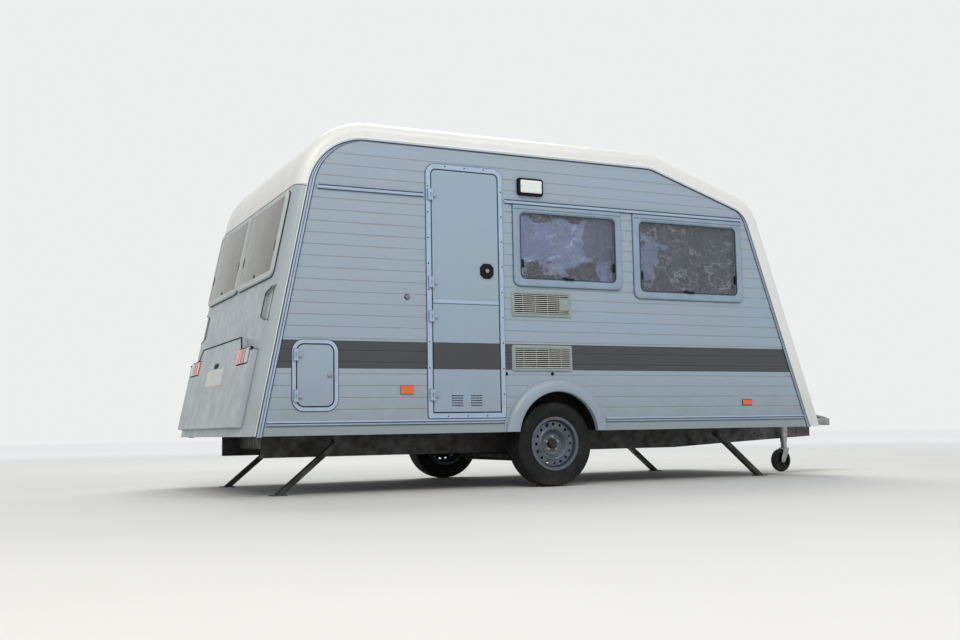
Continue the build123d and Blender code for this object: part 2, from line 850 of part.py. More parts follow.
# Vents: a border and slats over a back plate
vent_x0 = axle_x - vent_rear
vent_x1 = axle_x + vent_front
with BuildPart() as side_vents:
    for z0, z1, closed in vents:
        with BuildSketch(door_face):
            add(panel(vent_x0, vent_x1, z0, z1, 16))
        extrude(amount=vent_back_t)
        with BuildSketch(door_face):
            add(frame_ring(vent_x0, vent_x1, z0, z1, vent_border, 16))
        extrude(amount=vent_proud)
        slat_pitch = (z1 - z0 - 2 * vent_border) / vent_slats
        with BuildSketch(door_face):
            for index in range(vent_slats):
                with Locations(((vent_x0 + vent_x1) / 2, z0 + vent_border + (index + 0.5) * slat_pitch)):
                    Rectangle(vent_x1 - vent_x0 - 2 * vent_border + 2, vent_slat_t)
        extrude(amount=vent_proud - 2)
        column = (vent_x1 - vent_x0 - 2 * vent_border) / vent_columns
        with BuildSketch(door_face):
            for index in range(1, vent_columns):
                with Locations((vent_x0 + vent_border + index * column, (z0 + z1) / 2)):
                    Rectangle(vent_post_w, z1 - z0 - 2 * vent_border + 2)
            if closed:
                with Locations((vent_x1 - vent_border - column / 2, (z0 + z1) / 2)):
                    Rectangle(column + 2, closed * slat_pitch)
        extrude(amount=vent_proud - 1)
side_vents.part.label = "side_vents"
export_step(side_vents.part, "parts/side_vents.step")

# Lamp beside the door head
lamp_box = (axle_x - lamp_rear, axle_x - lamp_front, lamp_bottom_z, lamp_top_z)
with BuildPart() as porch_lamp:
    with BuildSketch(door_face):
        add(panel(*lamp_box, 18))
    extrude(amount=lamp_proud - lens_proud)
porch_lamp.part.label = "porch_lamp"
export_step(porch_lamp.part, "parts/porch_lamp.step")
with BuildPart() as porch_lens:
    with BuildSketch(door_face.offset(lamp_proud - lens_proud)):
        add(
            panel(
                lamp_box[0] + lamp_rim,
                lamp_box[1] - lamp_rim,
                lamp_box[2] + lamp_rim,
                lamp_box[3] - lamp_rim,
                12,
            )
        )
    extrude(amount=lens_proud)
porch_lens.part.label = "porch_lens"
export_step(porch_lens.part, "parts/porch_lens.step")

# Roof hatch: a frame round the opening and a lid hinged at its rear edge
hatch_hinge = Plane(
    origin=(hatch_cx - hatch_size / 2 - hatch_hinge_out, 0, roof_z + hatch_frame_h + hatch_gap / 2),
    x_dir=(1, 0, 0),
    z_dir=(0, -1, 0),
)
hatch_moving_plate = (0, hatch_hinge_out + 4 * hatch_skin, hatch_gap / 2, hinge_barrel_r)
with BuildPart() as hatch_frame:
    with BuildSketch(Plane.XY.offset(roof_z)):
        with Locations((hatch_cx, 0)):
            RectangleRounded(hatch_size, hatch_size, 40)
            Rectangle(hatch_size - 2 * hatch_frame_w, hatch_size - 2 * hatch_frame_w, mode=Mode.SUBTRACT)
    extrude(amount=hatch_frame_h)
    add(hinge_pins(hatch_hinge, hatch_hinge_ys, ((0, hatch_hinge_out, -hinge_barrel_r, -hatch_gap / 2),)))
hatch_frame.part.label = "hatch_frame"
export_step(hatch_frame.part, "parts/hatch_frame.step")
with BuildPart() as hatch_lid:
    with BuildSketch(Plane.XY.offset(roof_z + hatch_frame_h + hatch_gap)):
        with Locations((hatch_cx, 0)):
            RectangleRounded(hatch_size, hatch_size, 40)
    extrude(amount=hatch_lid_h, taper=20)
    with BuildSketch(Plane.XY.offset(roof_z + hatch_frame_h + hatch_gap)):
        with Locations((hatch_cx, 0)):
            RectangleRounded(hatch_size - 4 * hatch_skin, hatch_size - 4 * hatch_skin, 30)
    extrude(amount=hatch_lid_h - hatch_skin, taper=20, mode=Mode.SUBTRACT)
    add(hinge_barrels(hatch_hinge, hatch_hinge_ys, (hatch_moving_plate,)))
hatch_lid.part.label = "hatch_lid"
export_step(hatch_lid.part, "parts/hatch_lid.step")

# Gas locker: lid in the front wall, hung from its top edge, and the box behind it
gas_hinge = Plane(
    origin=front_plane.from_local_coords((0, gas_v[1] - gas_gap / 2, hinge_out)),
    x_dir=(-math.sin(front_lean), 0, math.cos(front_lean)),
    z_dir=(0, 1, 0),
)
gas_fixed_plates = ((0, hinge_leaf_w, -hinge_out, 0),)
gas_moving_plates = (
    (-hinge_leaf_w, 0, hinge_plate_t - hinge_out, 0),
    (-hinge_leaf_w, -gas_gap / 2, -hinge_out, 0),
)
with BuildPart() as gas_hinges:
    add(hinge_pins(gas_hinge, gas_hinge_ys, gas_fixed_plates))
gas_hinges.part.label = "gas_hinges"
export_step(gas_hinges.part, "parts/gas_hinges.step")
with BuildPart() as gas_lid:
    with BuildSketch(front_plane):
        add(
            panel(
                -gas_half_width + gas_gap,
                gas_half_width - gas_gap,
                gas_v[0] + gas_gap,
                gas_v[1] - gas_gap,
                gas_corner_r - gas_gap,
            )
        )
    extrude(amount=-wall_t)
    add(hinge_barrels(gas_hinge, gas_hinge_ys, gas_moving_plates))
gas_lid.part.label = "gas_lid"
export_step(gas_lid.part, "parts/gas_lid.step")

gas_back_x = front_face_x(gas_bottom_z) - gas_depth
with BuildPart() as gas_box:
    with BuildSketch(side_plane(1, gas_half_width + gas_wall_t)):
        with BuildLine():
            Polyline(
                (gas_back_x, body_bottom + floor_t),
                (gas_back_x, gas_top_z + gas_wall_t),
                (front_face_x(gas_top_z + gas_wall_t, wall_t), gas_top_z + gas_wall_t),
                (front_face_x(body_bottom + floor_t, wall_t), body_bottom + floor_t),
                close=True,
            )
        make_face()
    extrude(amount=2 * (gas_half_width + gas_wall_t))
    with BuildSketch(side_plane(1, gas_half_width)):
        with BuildLine():
            Polyline(
                (gas_back_x + gas_wall_t, body_bottom + floor_t),
                (gas_back_x + gas_wall_t, gas_top_z),
                (front_face_x(gas_top_z), gas_top_z),
                (front_face_x(body_bottom + floor_t), body_bottom + floor_t),
                close=True,
            )
        make_face()
    extrude(amount=2 * gas_half_width, mode=Mode.SUBTRACT)
gas_box.part.label = "gas_box"
export_step(gas_box.part, "parts/gas_box.step")

# Rear lower moulding, stepped up in the middle, with its lamps
valance_low_v = up_rear(valance_bottom_z)
valance_t = (rear_overhang - rear_foot + valance_low_v * math.sin(rear_lean)) / math.cos(rear_lean)
valance_half = [
    (valance_half_width, valance_bottom_z),
    (valance_half_width, valance_end_z),
    (valance_step_y, valance_shoulder_z),
    (valance_step_y - valance_step_run, valance_top_z),
]
valance_outline = valance_half + [(-y, z) for y, z in reversed(valance_half)]
with BuildPart() as rear_valance:
    with BuildSketch(rear_plane):
        with BuildLine():
            Polyline(*[(y, up_rear(z)) for y, z in valance_outline], close=True)
        make_face()
    extrude(amount=valance_t)
    with BuildSketch(rear_plane.offset(valance_t)):
        for y in lamp_ys:
            with Locations((y, up_rear(tail_lamp_z))):
                Rectangle(tail_lamp_width, tail_lamp_height)
    extrude(amount=-tail_lamp_t, mode=Mode.SUBTRACT)
rear_valance.part.label = "rear_valance"
export_step(rear_valance.part, "parts/rear_valance.step")
with BuildPart() as tail_lamps:
    with BuildSketch(rear_plane.offset(valance_t - tail_lamp_t)):
        for y in lamp_ys:
            with Locations((y, up_rear(tail_lamp_z))):
                Rectangle(tail_lamp_width, tail_lamp_height)
    extrude(amount=tail_lamp_t + 6)
tail_lamps.part.label = "tail_lamps"
export_step(tail_lamps.part, "parts/tail_lamps.step")

# Loop handles on the front corners: a bar bent out from the wall and back
handle_v = up_front(handle_z)
handle_half = handle_length / 2 - handle_bar_r
with BuildPart() as grab_handles:
    for sign in (-1, 1):
        handle_plane = Plane(
            origin=front_plane.from_local_coords((sign * handle_y, handle_v, 0)),
            x_dir=front_plane.y_dir,
            z_dir=front_plane.x_dir,
        )
        with BuildLine(handle_plane) as handle_path:
            FilletPolyline(
                (-handle_half, 0),
                (-handle_half, handle_out),
                (handle_half, handle_out),
                (handle_half, 0),
                radius=handle_bend_r,
            )
        with BuildSketch(front_plane):
            with Locations((sign * handle_y, handle_v - handle_half)):
                Circle(handle_bar_r)
        sweep(path=handle_path.wire())
grab_handles.part.label = "grab_handles"
export_step(grab_handles.part, "parts/grab_handles.step")

# Chassis side members: channels open inwards
member_top_z = body_bottom
member_rear_x = axle_x - member_rear
drawbar_bend_x = axle_x + drawbar_bend
ball_x = coupling_end_x - coupling_nose
drawbar_tip_x = ball_x - gaiter_back


def channel(depth, flange, thickness):
    """Channel section with its web on the left and its flanges to the right, top at zero."""
    with BuildSketch() as section:
        Rectangle(flange, depth, align=(Align.MIN, Align.MAX))
        with Locations((thickness, -thickness)):
            Rectangle(flange, depth - 2 * thickness, align=(Align.MIN, Align.MAX), mode=Mode.SUBTRACT)
    return section.sketch


with BuildPart() as side_members:
    for side, sign in sides:
        section_plane = Plane(
            origin=(member_rear_x, sign * member_y, member_top_z), x_dir=(0, -sign, 0), z_dir=(-sign, 0, 0)
        )
        with BuildSketch(section_plane):
            add(channel(member_depth, member_flange, member_t))
        extrude(amount=-sign * (drawbar_bend_x - member_rear_x))
side_members.part.label = "side_members"
export_step(side_members.part, "parts/side_members.step")

# Drawbar: two channels from the side members to the coupling
drawbar_angle = math.atan2(member_y - drawbar_tip_y, drawbar_tip_x - drawbar_bend_x)
drawbar_length = math.hypot(member_y - drawbar_tip_y, drawbar_tip_x - drawbar_bend_x)
with BuildPart() as drawbars:
    for side, sign in sides:
        along = Vector(math.cos(drawbar_angle), -sign * math.sin(drawbar_angle), 0)
        inward = Vector(-math.sin(drawbar_angle), -sign * math.cos(drawbar_angle), 0)
        root_plane = Plane(
            origin=(drawbar_bend_x, sign * member_y, member_top_z),
            x_dir=inward,
            z_dir=-sign * along,
        )
        with BuildSketch(root_plane.offset(sign * member_flange)):
            add(channel(member_depth, member_flange, member_t))
        with BuildSketch(root_plane.offset(-sign * drawbar_length)):
            add(channel(drawbar_tip_depth, member_flange, member_t))
        loft(ruled=True)
    split(bisect_by=Plane.YZ.offset(drawbar_bend_x), keep=Keep.TOP)
drawbars.part.label = "drawbars"
export_step(drawbars.part, "parts/drawbars.step")

# Cross members between the side members
with BuildPart() as cross_members:
    for _, x in cross_places:
        with BuildSketch(Plane.XZ.offset(-(member_y - member_t))):
            with Locations((axle_x + x, member_top_z - member_t)):
                Rectangle(cross_width, cross_depth, align=(Align.CENTER, Align.MAX))
            with Locations((axle_x + x, member_top_z - 2 * member_t)):
                Rectangle(
                    cross_width - 2 * member_t,
                    cross_depth,
                    align=(Align.CENTER, Align.MAX),
                    mode=Mode.SUBTRACT,
                )
        extrude(amount=2 * (member_y - member_t))
cross_members.part.label = "cross_members"
export_step(cross_members.part, "parts/cross_members.step")

# Axle tube with its saddles under the side members
axle_z = tyre_r
member_bottom_z = member_top_z - member_depth
tube_x = axle_x + arm_length
tube_z = member_bottom_z - axle_tube_r
arm_outer_y = wheel_y - rim_width / 2 - arm_gap
arm_inner_y = arm_outer_y - arm_t
with BuildPart() as axle_tube:
    with BuildSketch(Plane.XZ.offset(-arm_inner_y)):
        with Locations((tube_x, tube_z)):
            Circle(axle_tube_r)
    extrude(amount=2 * arm_inner_y)
    for _, sign in sides:
        with BuildSketch(Plane.XZ.offset(-sign * member_y)):
            with Locations((tube_x, member_bottom_z)):
                Rectangle(3 * axle_tube_r, axle_tube_r, align=(Align.CENTER, Align.MAX))
        extrude(amount=sign * member_flange)
    with BuildSketch(Plane.XZ.offset(-arm_inner_y)):
        with Locations((tube_x, tube_z)):
            Circle(axle_tube_r - axle_tube_t)
    extrude(amount=2 * arm_inner_y, mode=Mode.SUBTRACT)
axle_tube.part.label = "axle_tube"
export_step(axle_tube.part, "parts/axle_tube.step")

# Wheel stations along Y, measured from the middle of the rim outwards
hub_face = disc_hub_out - rim_t
drum_inner = hub_face - drum_l
stub_end = hub_face + hub_cap_l / 2

# Trailing arms with their stubs and the brakes' backplates
with BuildPart() as trailing_arms:
    for _, sign in sides:
        with BuildSketch(side_plane(sign, arm_outer_y)):
            with BuildLine():
                Line((tube_x, tube_z), (axle_x, axle_z))
            with Locations((tube_x, tube_z)):
                Circle(axle_tube_r)
            with Locations((axle_x, axle_z)):
                Circle(arm_width / 2)
            make_hull()
        extrude(amount=sign * arm_t)
        with BuildSketch(side_plane(sign, wheel_y + stub_end)):
            with Locations((axle_x, axle_z)):
                Circle(stub_r)
        extrude(amount=sign * (wheel_y + stub_end - arm_outer_y))
        with BuildSketch(side_plane(sign, wheel_y + drum_inner - drum_gap)):
            with Locations((axle_x, axle_z)):
                Circle(drum_r - drum_gap)
        extrude(amount=sign * backplate_t)
trailing_arms.part.label = "trailing_arms"
export_step(trailing_arms.part, "parts/trailing_arms.step")

for side, sign in sides:
    # Brake drum and hub, turning on the stub
    with BuildPart() as brake_drum:
        with BuildSketch(wheel_plane(sign, wheel_y, axle_z)):
            with BuildLine():
                Polyline(
                    (stub_r + stub_clear, drum_inner),
                    (drum_r, drum_inner),
                    (drum_r, hub_face),
                    (hub_cap_r, hub_face),
                    (hub_cap_r, hub_face + hub_cap_l - 8),
                    (hub_cap_r - 8, hub_face + hub_cap_l),
                    (0, hub_face + hub_cap_l),
                    (0, hub_face + hub_cap_l - 5),
                    (stub_r + stub_clear, hub_face + hub_cap_l - 5),
                    close=True,
                )
            make_face()
        revolve(axis=Axis((axle_x, 0, axle_z), (0, 1, 0)))
    brake_drum.part.label = f"brake_drum_{side}"
    export_step(brake_drum.part, f"parts/brake_drum_{side}.step")

    # Pressed steel rim: a barrel with a well, and a dished disc with a ring of round holes
    half_rim = rim_width / 2
    flange_y = half_rim - rim_lip
    bead_run = (tyre_width / 2 - flange_y) * (rim_flange_r - rim_seat_r)
    bead_y = flange_y - bead_run / (tyre_belly_r - rim_flange_r)
    ring_inner = vent_circle_r - vent_ring_w / 2
    ring_outer = vent_circle_r + vent_ring_w / 2
    with BuildPart() as rim:
        with BuildSketch(wheel_plane(sign, wheel_y, axle_z)):
            with BuildLine():
                Polyline(
                    (rim_flange_r, half_rim),
                    (rim_flange_r, flange_y),
                    (rim_seat_r, bead_y),
                    (rim_seat_r, 44),
                    (rim_well_r, 30),
                    (rim_well_r, -24),
                    (rim_seat_r, -40),
                    (rim_seat_r, -bead_y),
                    (rim_flange_r, -flange_y),
                    (rim_flange_r, -half_rim),
                    (rim_seat_r - rim_t, -half_rim + 2),
                    (rim_seat_r - rim_t, -43),
                    (rim_well_r - rim_t, -28),
                    (rim_well_r - rim_t, 33),
                    (rim_seat_r - rim_t, 47),
                    (rim_seat_r - rim_t, half_rim - 2),
                    close=True,
                )
            make_face()
            with BuildLine():
                Polyline(
                    (rim_seat_r - rim_t + 1, 30),
                    (rim_seat_r - rim_t + 1, 48),
                    (ring_outer, disc_out),
                    (ring_inner, disc_out),
                    (ring_inner - 7, disc_out + 6),
                    (ring_inner - 20, disc_out + 2),
                    (78, disc_hub_out + 4),
                    (64, disc_hub_out),
                    (hub_cap_r, disc_hub_out),
                    (hub_cap_r, hub_face),
                    (66, hub_face),
                    (82, disc_hub_out - 1),
                    (ring_inner - 17, disc_out + 2 - rim_t),
                    (ring_inner - 7, disc_out + 6 - rim_t),
                    (ring_inner + 1, disc_out - rim_t),
                    (ring_outer - 3, disc_out - rim_t),
                    (rim_seat_r - 2 * rim_t + 1, 46),
                    (rim_seat_r - 2 * rim_t + 1, 30),
                    close=True,
                )
            make_face()
        revolve(axis=Axis((axle_x, 0, axle_z), (0, 1, 0)))
        with BuildSketch(side_plane(sign, wheel_y + half_rim)):
            with Locations((axle_x, axle_z)):
                with PolarLocations(vent_circle_r, vent_holes):
                    Circle(vent_hole_r)
        extrude(amount=sign * (half_rim - 40), mode=Mode.SUBTRACT)
    rim.part.label = f"rim_{side}"
    export_step(rim.part, f"parts/rim_{side}.step")

    # Tyre seated on the rim
    with BuildPart() as tyre:
        with BuildSketch(wheel_plane(sign, wheel_y, axle_z)):
            tyre_half = [
                (rim_seat_r, bead_y),
                (tyre_belly_r, tyre_width / 2),
                (tyre_r, tyre_tread_width / 2),
            ]
            with BuildLine():
                Polyline(*tyre_half, *[(r, -y) for r, y in reversed(tyre_half)], close=True)
            make_face()
        revolve(axis=Axis((axle_x, 0, axle_z), (0, 1, 0)))
    tyre.part.label = f"tyre_{side}"
    export_step(tyre.part, f"parts/tyre_{side}.step")

# Overrun gear: saddle and housing on the drawbar, draw tube, and the coupling head with its ball socket
lever_foot = (ball_x - housing_back + lever_place, draw_axis_z)
lever_pad_y = housing_r + 6
with BuildPart() as draw_gear:
    with BuildSketch(Plane.XY.offset(member_top_z)):
        with Locations((ball_x - gaiter_back, 0)):
            Rectangle(housing_back - gaiter_back, saddle_width, align=(Align.MAX, Align.CENTER))
    extrude(amount=saddle_t)
    with BuildSketch(Plane.XY.offset(member_top_z)):
        with Locations((ball_x - gaiter_back, 0)):
            Rectangle(housing_back - gaiter_back, housing_foot_w, align=(Align.MAX, Align.CENTER))
    extrude(amount=draw_axis_z - member_top_z - housing_r / 2)
    with BuildSketch(Plane.XZ.offset(housing_r / 2)):
        with Locations(lever_foot):
            Rectangle(2 * lever_width, 2 * lever_width)
    extrude(amount=lever_pad_y - housing_r / 2)
    with BuildSketch(Plane.YZ.offset(ball_x - housing_back)):
        with Locations((0, draw_axis_z)):
            Circle(housing_r)
    extrude(amount=housing_back - gaiter_back)
    with BuildSketch(Plane.YZ.offset(ball_x - gaiter_back)):
        with Locations((0, draw_axis_z)):
            Circle(draw_tube_r)
    extrude(amount=gaiter_back - draw_tube_front)
draw_gear.part.label = "draw_gear"
export_step(draw_gear.part, "parts/draw_gear.step")

with BuildPart() as draw_gaiter:
    with BuildSketch(Plane.YZ.offset(ball_x - gaiter_back)):
        with Locations((0, draw_axis_z)):
            Circle(gaiter_r)
            Circle(draw_tube_r, mode=Mode.SUBTRACT)
    extrude(amount=gaiter_back - gaiter_front)
draw_gaiter.part.label = "draw_gaiter"
export_step(draw_gaiter.part, "parts/draw_gaiter.step")

socket_r = ball_r + ball_clear
with BuildPart() as coupling_head:
    with BuildSketch(Plane.XY.offset(ball_z - socket_depth)):
        with Locations((ball_x, 0)):
            Circle(coupling_nose)
    extrude(amount=socket_depth + socket_r + coupling_crown)
    with BuildSketch(Plane.YZ.offset(ball_x - gaiter_front)):
        with Locations((0, draw_axis_z)):
            Circle(gaiter_r)
            Rectangle(neck_width, 2 * gaiter_r - 14)
    extrude(amount=gaiter_front)
    with BuildSketch(Plane.YZ.offset(ball_x - gaiter_front)):
        with Locations((0, draw_axis_z)):
            Circle(draw_tube_r)
    extrude(amount=gaiter_front - draw_tube_front, mode=Mode.SUBTRACT)
    crown_top_z = ball_z + socket_r + coupling_crown
    with BuildSketch(Plane.XZ.offset(-handle_w / 2)):
        with BuildLine():
            Polyline(
                (ball_x + 20, crown_top_z - 2),
                (ball_x + 4, crown_top_z + handle_t),
                (ball_x - handle_reach, crown_top_z + handle_rise),
                (ball_x - handle_reach, crown_top_z + handle_rise - handle_t),
                (ball_x - 26, crown_top_z - 2),
                close=True,
            )
        make_face()
    extrude(amount=handle_w)
    with BuildSketch(Plane.XY.offset(ball_z - socket_depth - gaiter_r)):
        with Locations((ball_x, 0)):
            Circle(socket_r)
    extrude(amount=socket_depth + gaiter_r, mode=Mode.SUBTRACT)
    with BuildSketch(Plane.XZ):
        with BuildLine():
            CenterArc((ball_x, ball_z), socket_r, 0, 90)
            Line((ball_x, ball_z + socket_r), (ball_x, ball_z))
            Line((ball_x, ball_z), (ball_x + socket_r, ball_z))
        make_face()
    revolve(axis=Axis((ball_x, 0, ball_z), (0, 0, 1)), mode=Mode.SUBTRACT)
coupling_head.part.label = "coupling_head"
export_step(coupling_head.part, "parts/coupling_head.step")

# Handbrake lever standing on the housing's side
with BuildPart() as brake_lever:
    lever_plane = Plane(
        origin=(lever_foot[0], -lever_pad_y - lever_boss_l, lever_foot[1]),
        x_dir=(math.cos(lever_lean), 0, math.sin(lever_lean)),
        z_dir=(0, -1, 0),
    )
    with BuildSketch(lever_plane):
        with Locations((lever_length / 2 - lever_width, 0)):
            SlotOverall(lever_length, lever_width)
    extrude(amount=lever_t)
    with BuildSketch(Plane.XZ.offset(lever_pad_y)):
        with Locations(lever_foot):
            Circle(lever_width / 2)
    extrude(amount=lever_boss_l)
    grip_plane = Plane(
        origin=lever_plane.from_local_coords((lever_length - grip_length - lever_width, 0, lever_t / 2)),
        x_dir=(0, 1, 0),
        z_dir=lever_plane.x_dir,
    )
    with BuildSketch(grip_plane):
        Circle(grip_r)
    extrude(amount=grip_length)
brake_lever.part.label = "brake_lever"
export_step(brake_lever.part, "parts/brake_lever.step")

# Nose wheel on the right drawbar: clamp and outer tube, inner tube, fork and wheel
jockey_along = (axle_x + jockey_x - drawbar_bend_x) / math.cos(drawbar_angle)
jockey_out = jockey_stand_off + jockey_outer_r
jockey_cx = drawbar_bend_x + jockey_along * math.cos(drawbar_angle) + jockey_out * math.sin(drawbar_angle)
jockey_cy = -(member_y - jockey_along * math.sin(drawbar_angle)) - jockey_out * math.cos(drawbar_angle)
outer_bore_r = jockey_outer_r - jockey_tube_t
with BuildPart() as jockey_clamp:
    with BuildSketch(Plane.XY.offset(member_top_z - drawbar_tip_depth)):
        with Locations(Location((jockey_cx, jockey_cy, 0), (0, 0, math.degrees(drawbar_angle)))):
            Rectangle(2 * jockey_outer_r + 16, jockey_out, align=(Align.CENTER, Align.MIN))
        with Locations((jockey_cx, jockey_cy)):
            Circle(jockey_outer_r + 6)
            Circle(outer_bore_r, mode=Mode.SUBTRACT)
    extrude(amount=jockey_clamp_h - 4)
    with BuildSketch(Plane.XY.offset(jockey_outer_bottom)):
        with Locations((jockey_cx, jockey_cy)):
            Circle(jockey_outer_r)
            Circle(outer_bore_r, mode=Mode.SUBTRACT)
    extrude(amount=jockey_outer_top - jockey_outer_bottom)
    with BuildSketch(Plane.XY.offset(jockey_outer_top)):
        with Locations((jockey_cx, jockey_cy)):
            Circle(jockey_outer_r + 3)
    extrude(amount=12)
    with BuildSketch(Plane.XY.offset(jockey_outer_top + 12)):
        with Locations((jockey_cx, jockey_cy)):
            Circle(jockey_crank_r)
    extrude(amount=34)
    with BuildSketch(Plane.YZ.offset(jockey_cx - jockey_crank_r)):
        with Locations((jockey_cy, jockey_outer_top + 46)):
            Circle(jockey_crank_r)
    extrude(amount=jockey_crank_l)
jockey_clamp.part.label = "jockey_clamp"
export_step(jockey_clamp.part, "parts/jockey_clamp.step")

crown_z = 2 * jockey_wheel_r + jockey_crown_gap
fork_half = jockey_wheel_w / 2 + jockey_fork_gap
inner_r = outer_bore_r - jockey_slide_clear
with BuildPart() as jockey_tube:
    with BuildSketch(Plane.XY.offset(crown_z + jockey_fork_t + jockey_slide_clear)):
        with Locations((jockey_cx, jockey_cy)):
            Circle(inner_r)
            Circle(inner_r - jockey_tube_t, mode=Mode.SUBTRACT)
    extrude(amount=jockey_inner_top - crown_z - jockey_fork_t - jockey_slide_clear)
jockey_tube.part.label = "jockey_tube"
export_step(jockey_tube.part, "parts/jockey_tube.step")

wheel_cx = jockey_cx - jockey_trail
with BuildPart() as jockey_fork:
    with BuildSketch(Plane.XY.offset(crown_z)):
        with Locations((jockey_cx, jockey_cy)):
            Rectangle(2 * inner_r, 2 * (fork_half + jockey_fork_t))
    extrude(amount=jockey_fork_t)
    with BuildSketch(Plane.XY.offset(crown_z)):
        with Locations((jockey_cx, jockey_cy)):
            Circle(inner_r - jockey_tube_t - jockey_slide_clear)
    extrude(amount=jockey_fork_t + jockey_pivot_l)
    for sign in (-1, 1):
        cheek_y = jockey_cy + sign * (fork_half + jockey_fork_t / 2) - jockey_fork_t / 2
        with BuildSketch(Plane.XZ.offset(-cheek_y)):
            with BuildLine():
                Polyline(
                    (jockey_cx - inner_r, crown_z + jockey_fork_t),
                    (jockey_cx + inner_r, crown_z + jockey_fork_t),
                    (jockey_cx + inner_r, crown_z - 16),
                    (wheel_cx + jockey_hub_r, jockey_wheel_r - jockey_hub_r),
                    (wheel_cx - jockey_hub_r, jockey_wheel_r - jockey_hub_r),
                    (wheel_cx - jockey_hub_r, jockey_wheel_r + jockey_hub_r),
                    close=True,
                )
            make_face()
        extrude(amount=-jockey_fork_t)
    with BuildSketch(Plane.XZ.offset(-(jockey_cy + fork_half))):
        with Locations((wheel_cx, jockey_wheel_r)):
            Circle(jockey_axle_r)
    extrude(amount=2 * fork_half)
jockey_fork.part.label = "jockey_fork"
export_step(jockey_fork.part, "parts/jockey_fork.step")

jockey_rim_r = jockey_wheel_r - jockey_tyre_t
jockey_bore_r = jockey_axle_r + jockey_axle_clear
jockey_half = [
    (jockey_bore_r, jockey_hub_w / 2),
    (jockey_hub_r, jockey_hub_w / 2),
    (jockey_hub_r, jockey_web_w / 2),
    (jockey_rim_r, jockey_web_w / 2),
    (jockey_rim_r, jockey_wheel_w / 2),
    (jockey_wheel_r - jockey_chamfer, jockey_wheel_w / 2),
    (jockey_wheel_r, jockey_wheel_w / 2 - jockey_chamfer),
]
with BuildPart() as jockey_wheel:
    with BuildSketch(Plane(origin=(wheel_cx, jockey_cy, jockey_wheel_r), x_dir=(0, 0, 1), z_dir=(1, 0, 0))):
        with BuildLine():
            Polyline(*jockey_half, *[(r, -y) for r, y in reversed(jockey_half)], close=True)
        make_face()
    revolve(axis=Axis((wheel_cx, jockey_cy, jockey_wheel_r), (0, 1, 0)))
jockey_wheel.part.label = "jockey_wheel"
export_step(jockey_wheel.part, "parts/jockey_wheel.step")

# Corner legs: brackets and screws under the floor, and pressed legs on their pivots
leg_reach = leg_pivot_z / math.sin(leg_fold)
leg_bracket_half = leg_width / 2 + leg_side_gap
with BuildPart() as leg_brackets:
    for _, x, way in legs:
        for _, sign in sides:
            pivot_x = axle_x + x
            with BuildSketch(Plane.XY.offset(body_bottom)):
                with Locations((pivot_x, sign * leg_y)):
                    Rectangle(110, 2 * (leg_bracket_half + leg_bracket_t))
            extrude(amount=-leg_bracket_t)
            for cheek in (-1, 1):
                y = sign * leg_y + cheek * (leg_bracket_half + leg_bracket_t / 2)
                with BuildSketch(Plane.XZ.offset(-y - leg_bracket_t / 2)):
                    with BuildLine():
                        Polyline(
                            (pivot_x - 40, body_bottom),
                            (pivot_x + 40, body_bottom),
                            (pivot_x + 18, leg_pivot_z - 16),
                            (pivot_x - 18, leg_pivot_z - 16),
                            close=True,
                        )
                    make_face()
                extrude(amount=leg_bracket_t)
            with BuildSketch(Plane.XZ.offset(-sign * leg_y - leg_bracket_half)):
                with Locations((pivot_x, leg_pivot_z)):
                    Circle(leg_pivot_r)
            extrude(amount=2 * leg_bracket_half)
leg_brackets.part.label = "leg_brackets"
export_step(leg_brackets.part, "parts/leg_brackets.step")

for end, x, way in legs:
    for side, sign in sides:
        with BuildPart() as leg:
            pivot_x = axle_x + x
            along = Vector(way * math.cos(leg_fold), 0, -math.sin(leg_fold))
            leg_plane = Plane(origin=(pivot_x, sign * leg_y, leg_pivot_z), x_dir=(0, 1, 0), z_dir=along)
            with BuildSketch(leg_plane.offset(-leg_depth / 2)):
                Rectangle(leg_width, leg_depth)
                with Locations((0, way * leg_t)):
                    Rectangle(leg_width - 2 * leg_t, leg_depth, mode=Mode.SUBTRACT)
            extrude(amount=leg_reach + leg_depth)
            with BuildSketch(Plane.XY.offset(leg_foot_t)):
                with Locations((pivot_x + way * leg_reach * math.cos(leg_fold), sign * leg_y)):
                    Rectangle(3 * leg_foot, 3 * leg_foot)
            extrude(amount=-leg_foot, mode=Mode.SUBTRACT)
            with BuildSketch(Plane.XY):
                with Locations((pivot_x + way * leg_reach * math.cos(leg_fold), sign * leg_y)):
                    RectangleRounded(leg_foot, leg_width + 30, 12)
            extrude(amount=leg_foot_t)
            with BuildSketch(Plane.XZ.offset(-sign * leg_y - leg_width)):
                with Locations((pivot_x, leg_pivot_z)):
                    Circle(leg_pivot_r + leg_pivot_clear)
            extrude(amount=2 * leg_width, mode=Mode.SUBTRACT)
        leg.part.label = f"leg_{end}_{side}"
        export_step(leg.part, f"parts/leg_{end}_{side}.step")
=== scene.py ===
"""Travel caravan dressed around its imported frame: sheets, mouldings, windows, wheels and running gear.

Metres, in the frame's own axes: +X forward to the coupling, +Y to the caravan's left, +Z up.
"""

import math
from functools import cache
from typing import NamedTuple

import bmesh
import bpy
import numpy as np
from bpy.props import FloatProperty, FloatVectorProperty, PointerProperty
from mathutils import Matrix, Vector


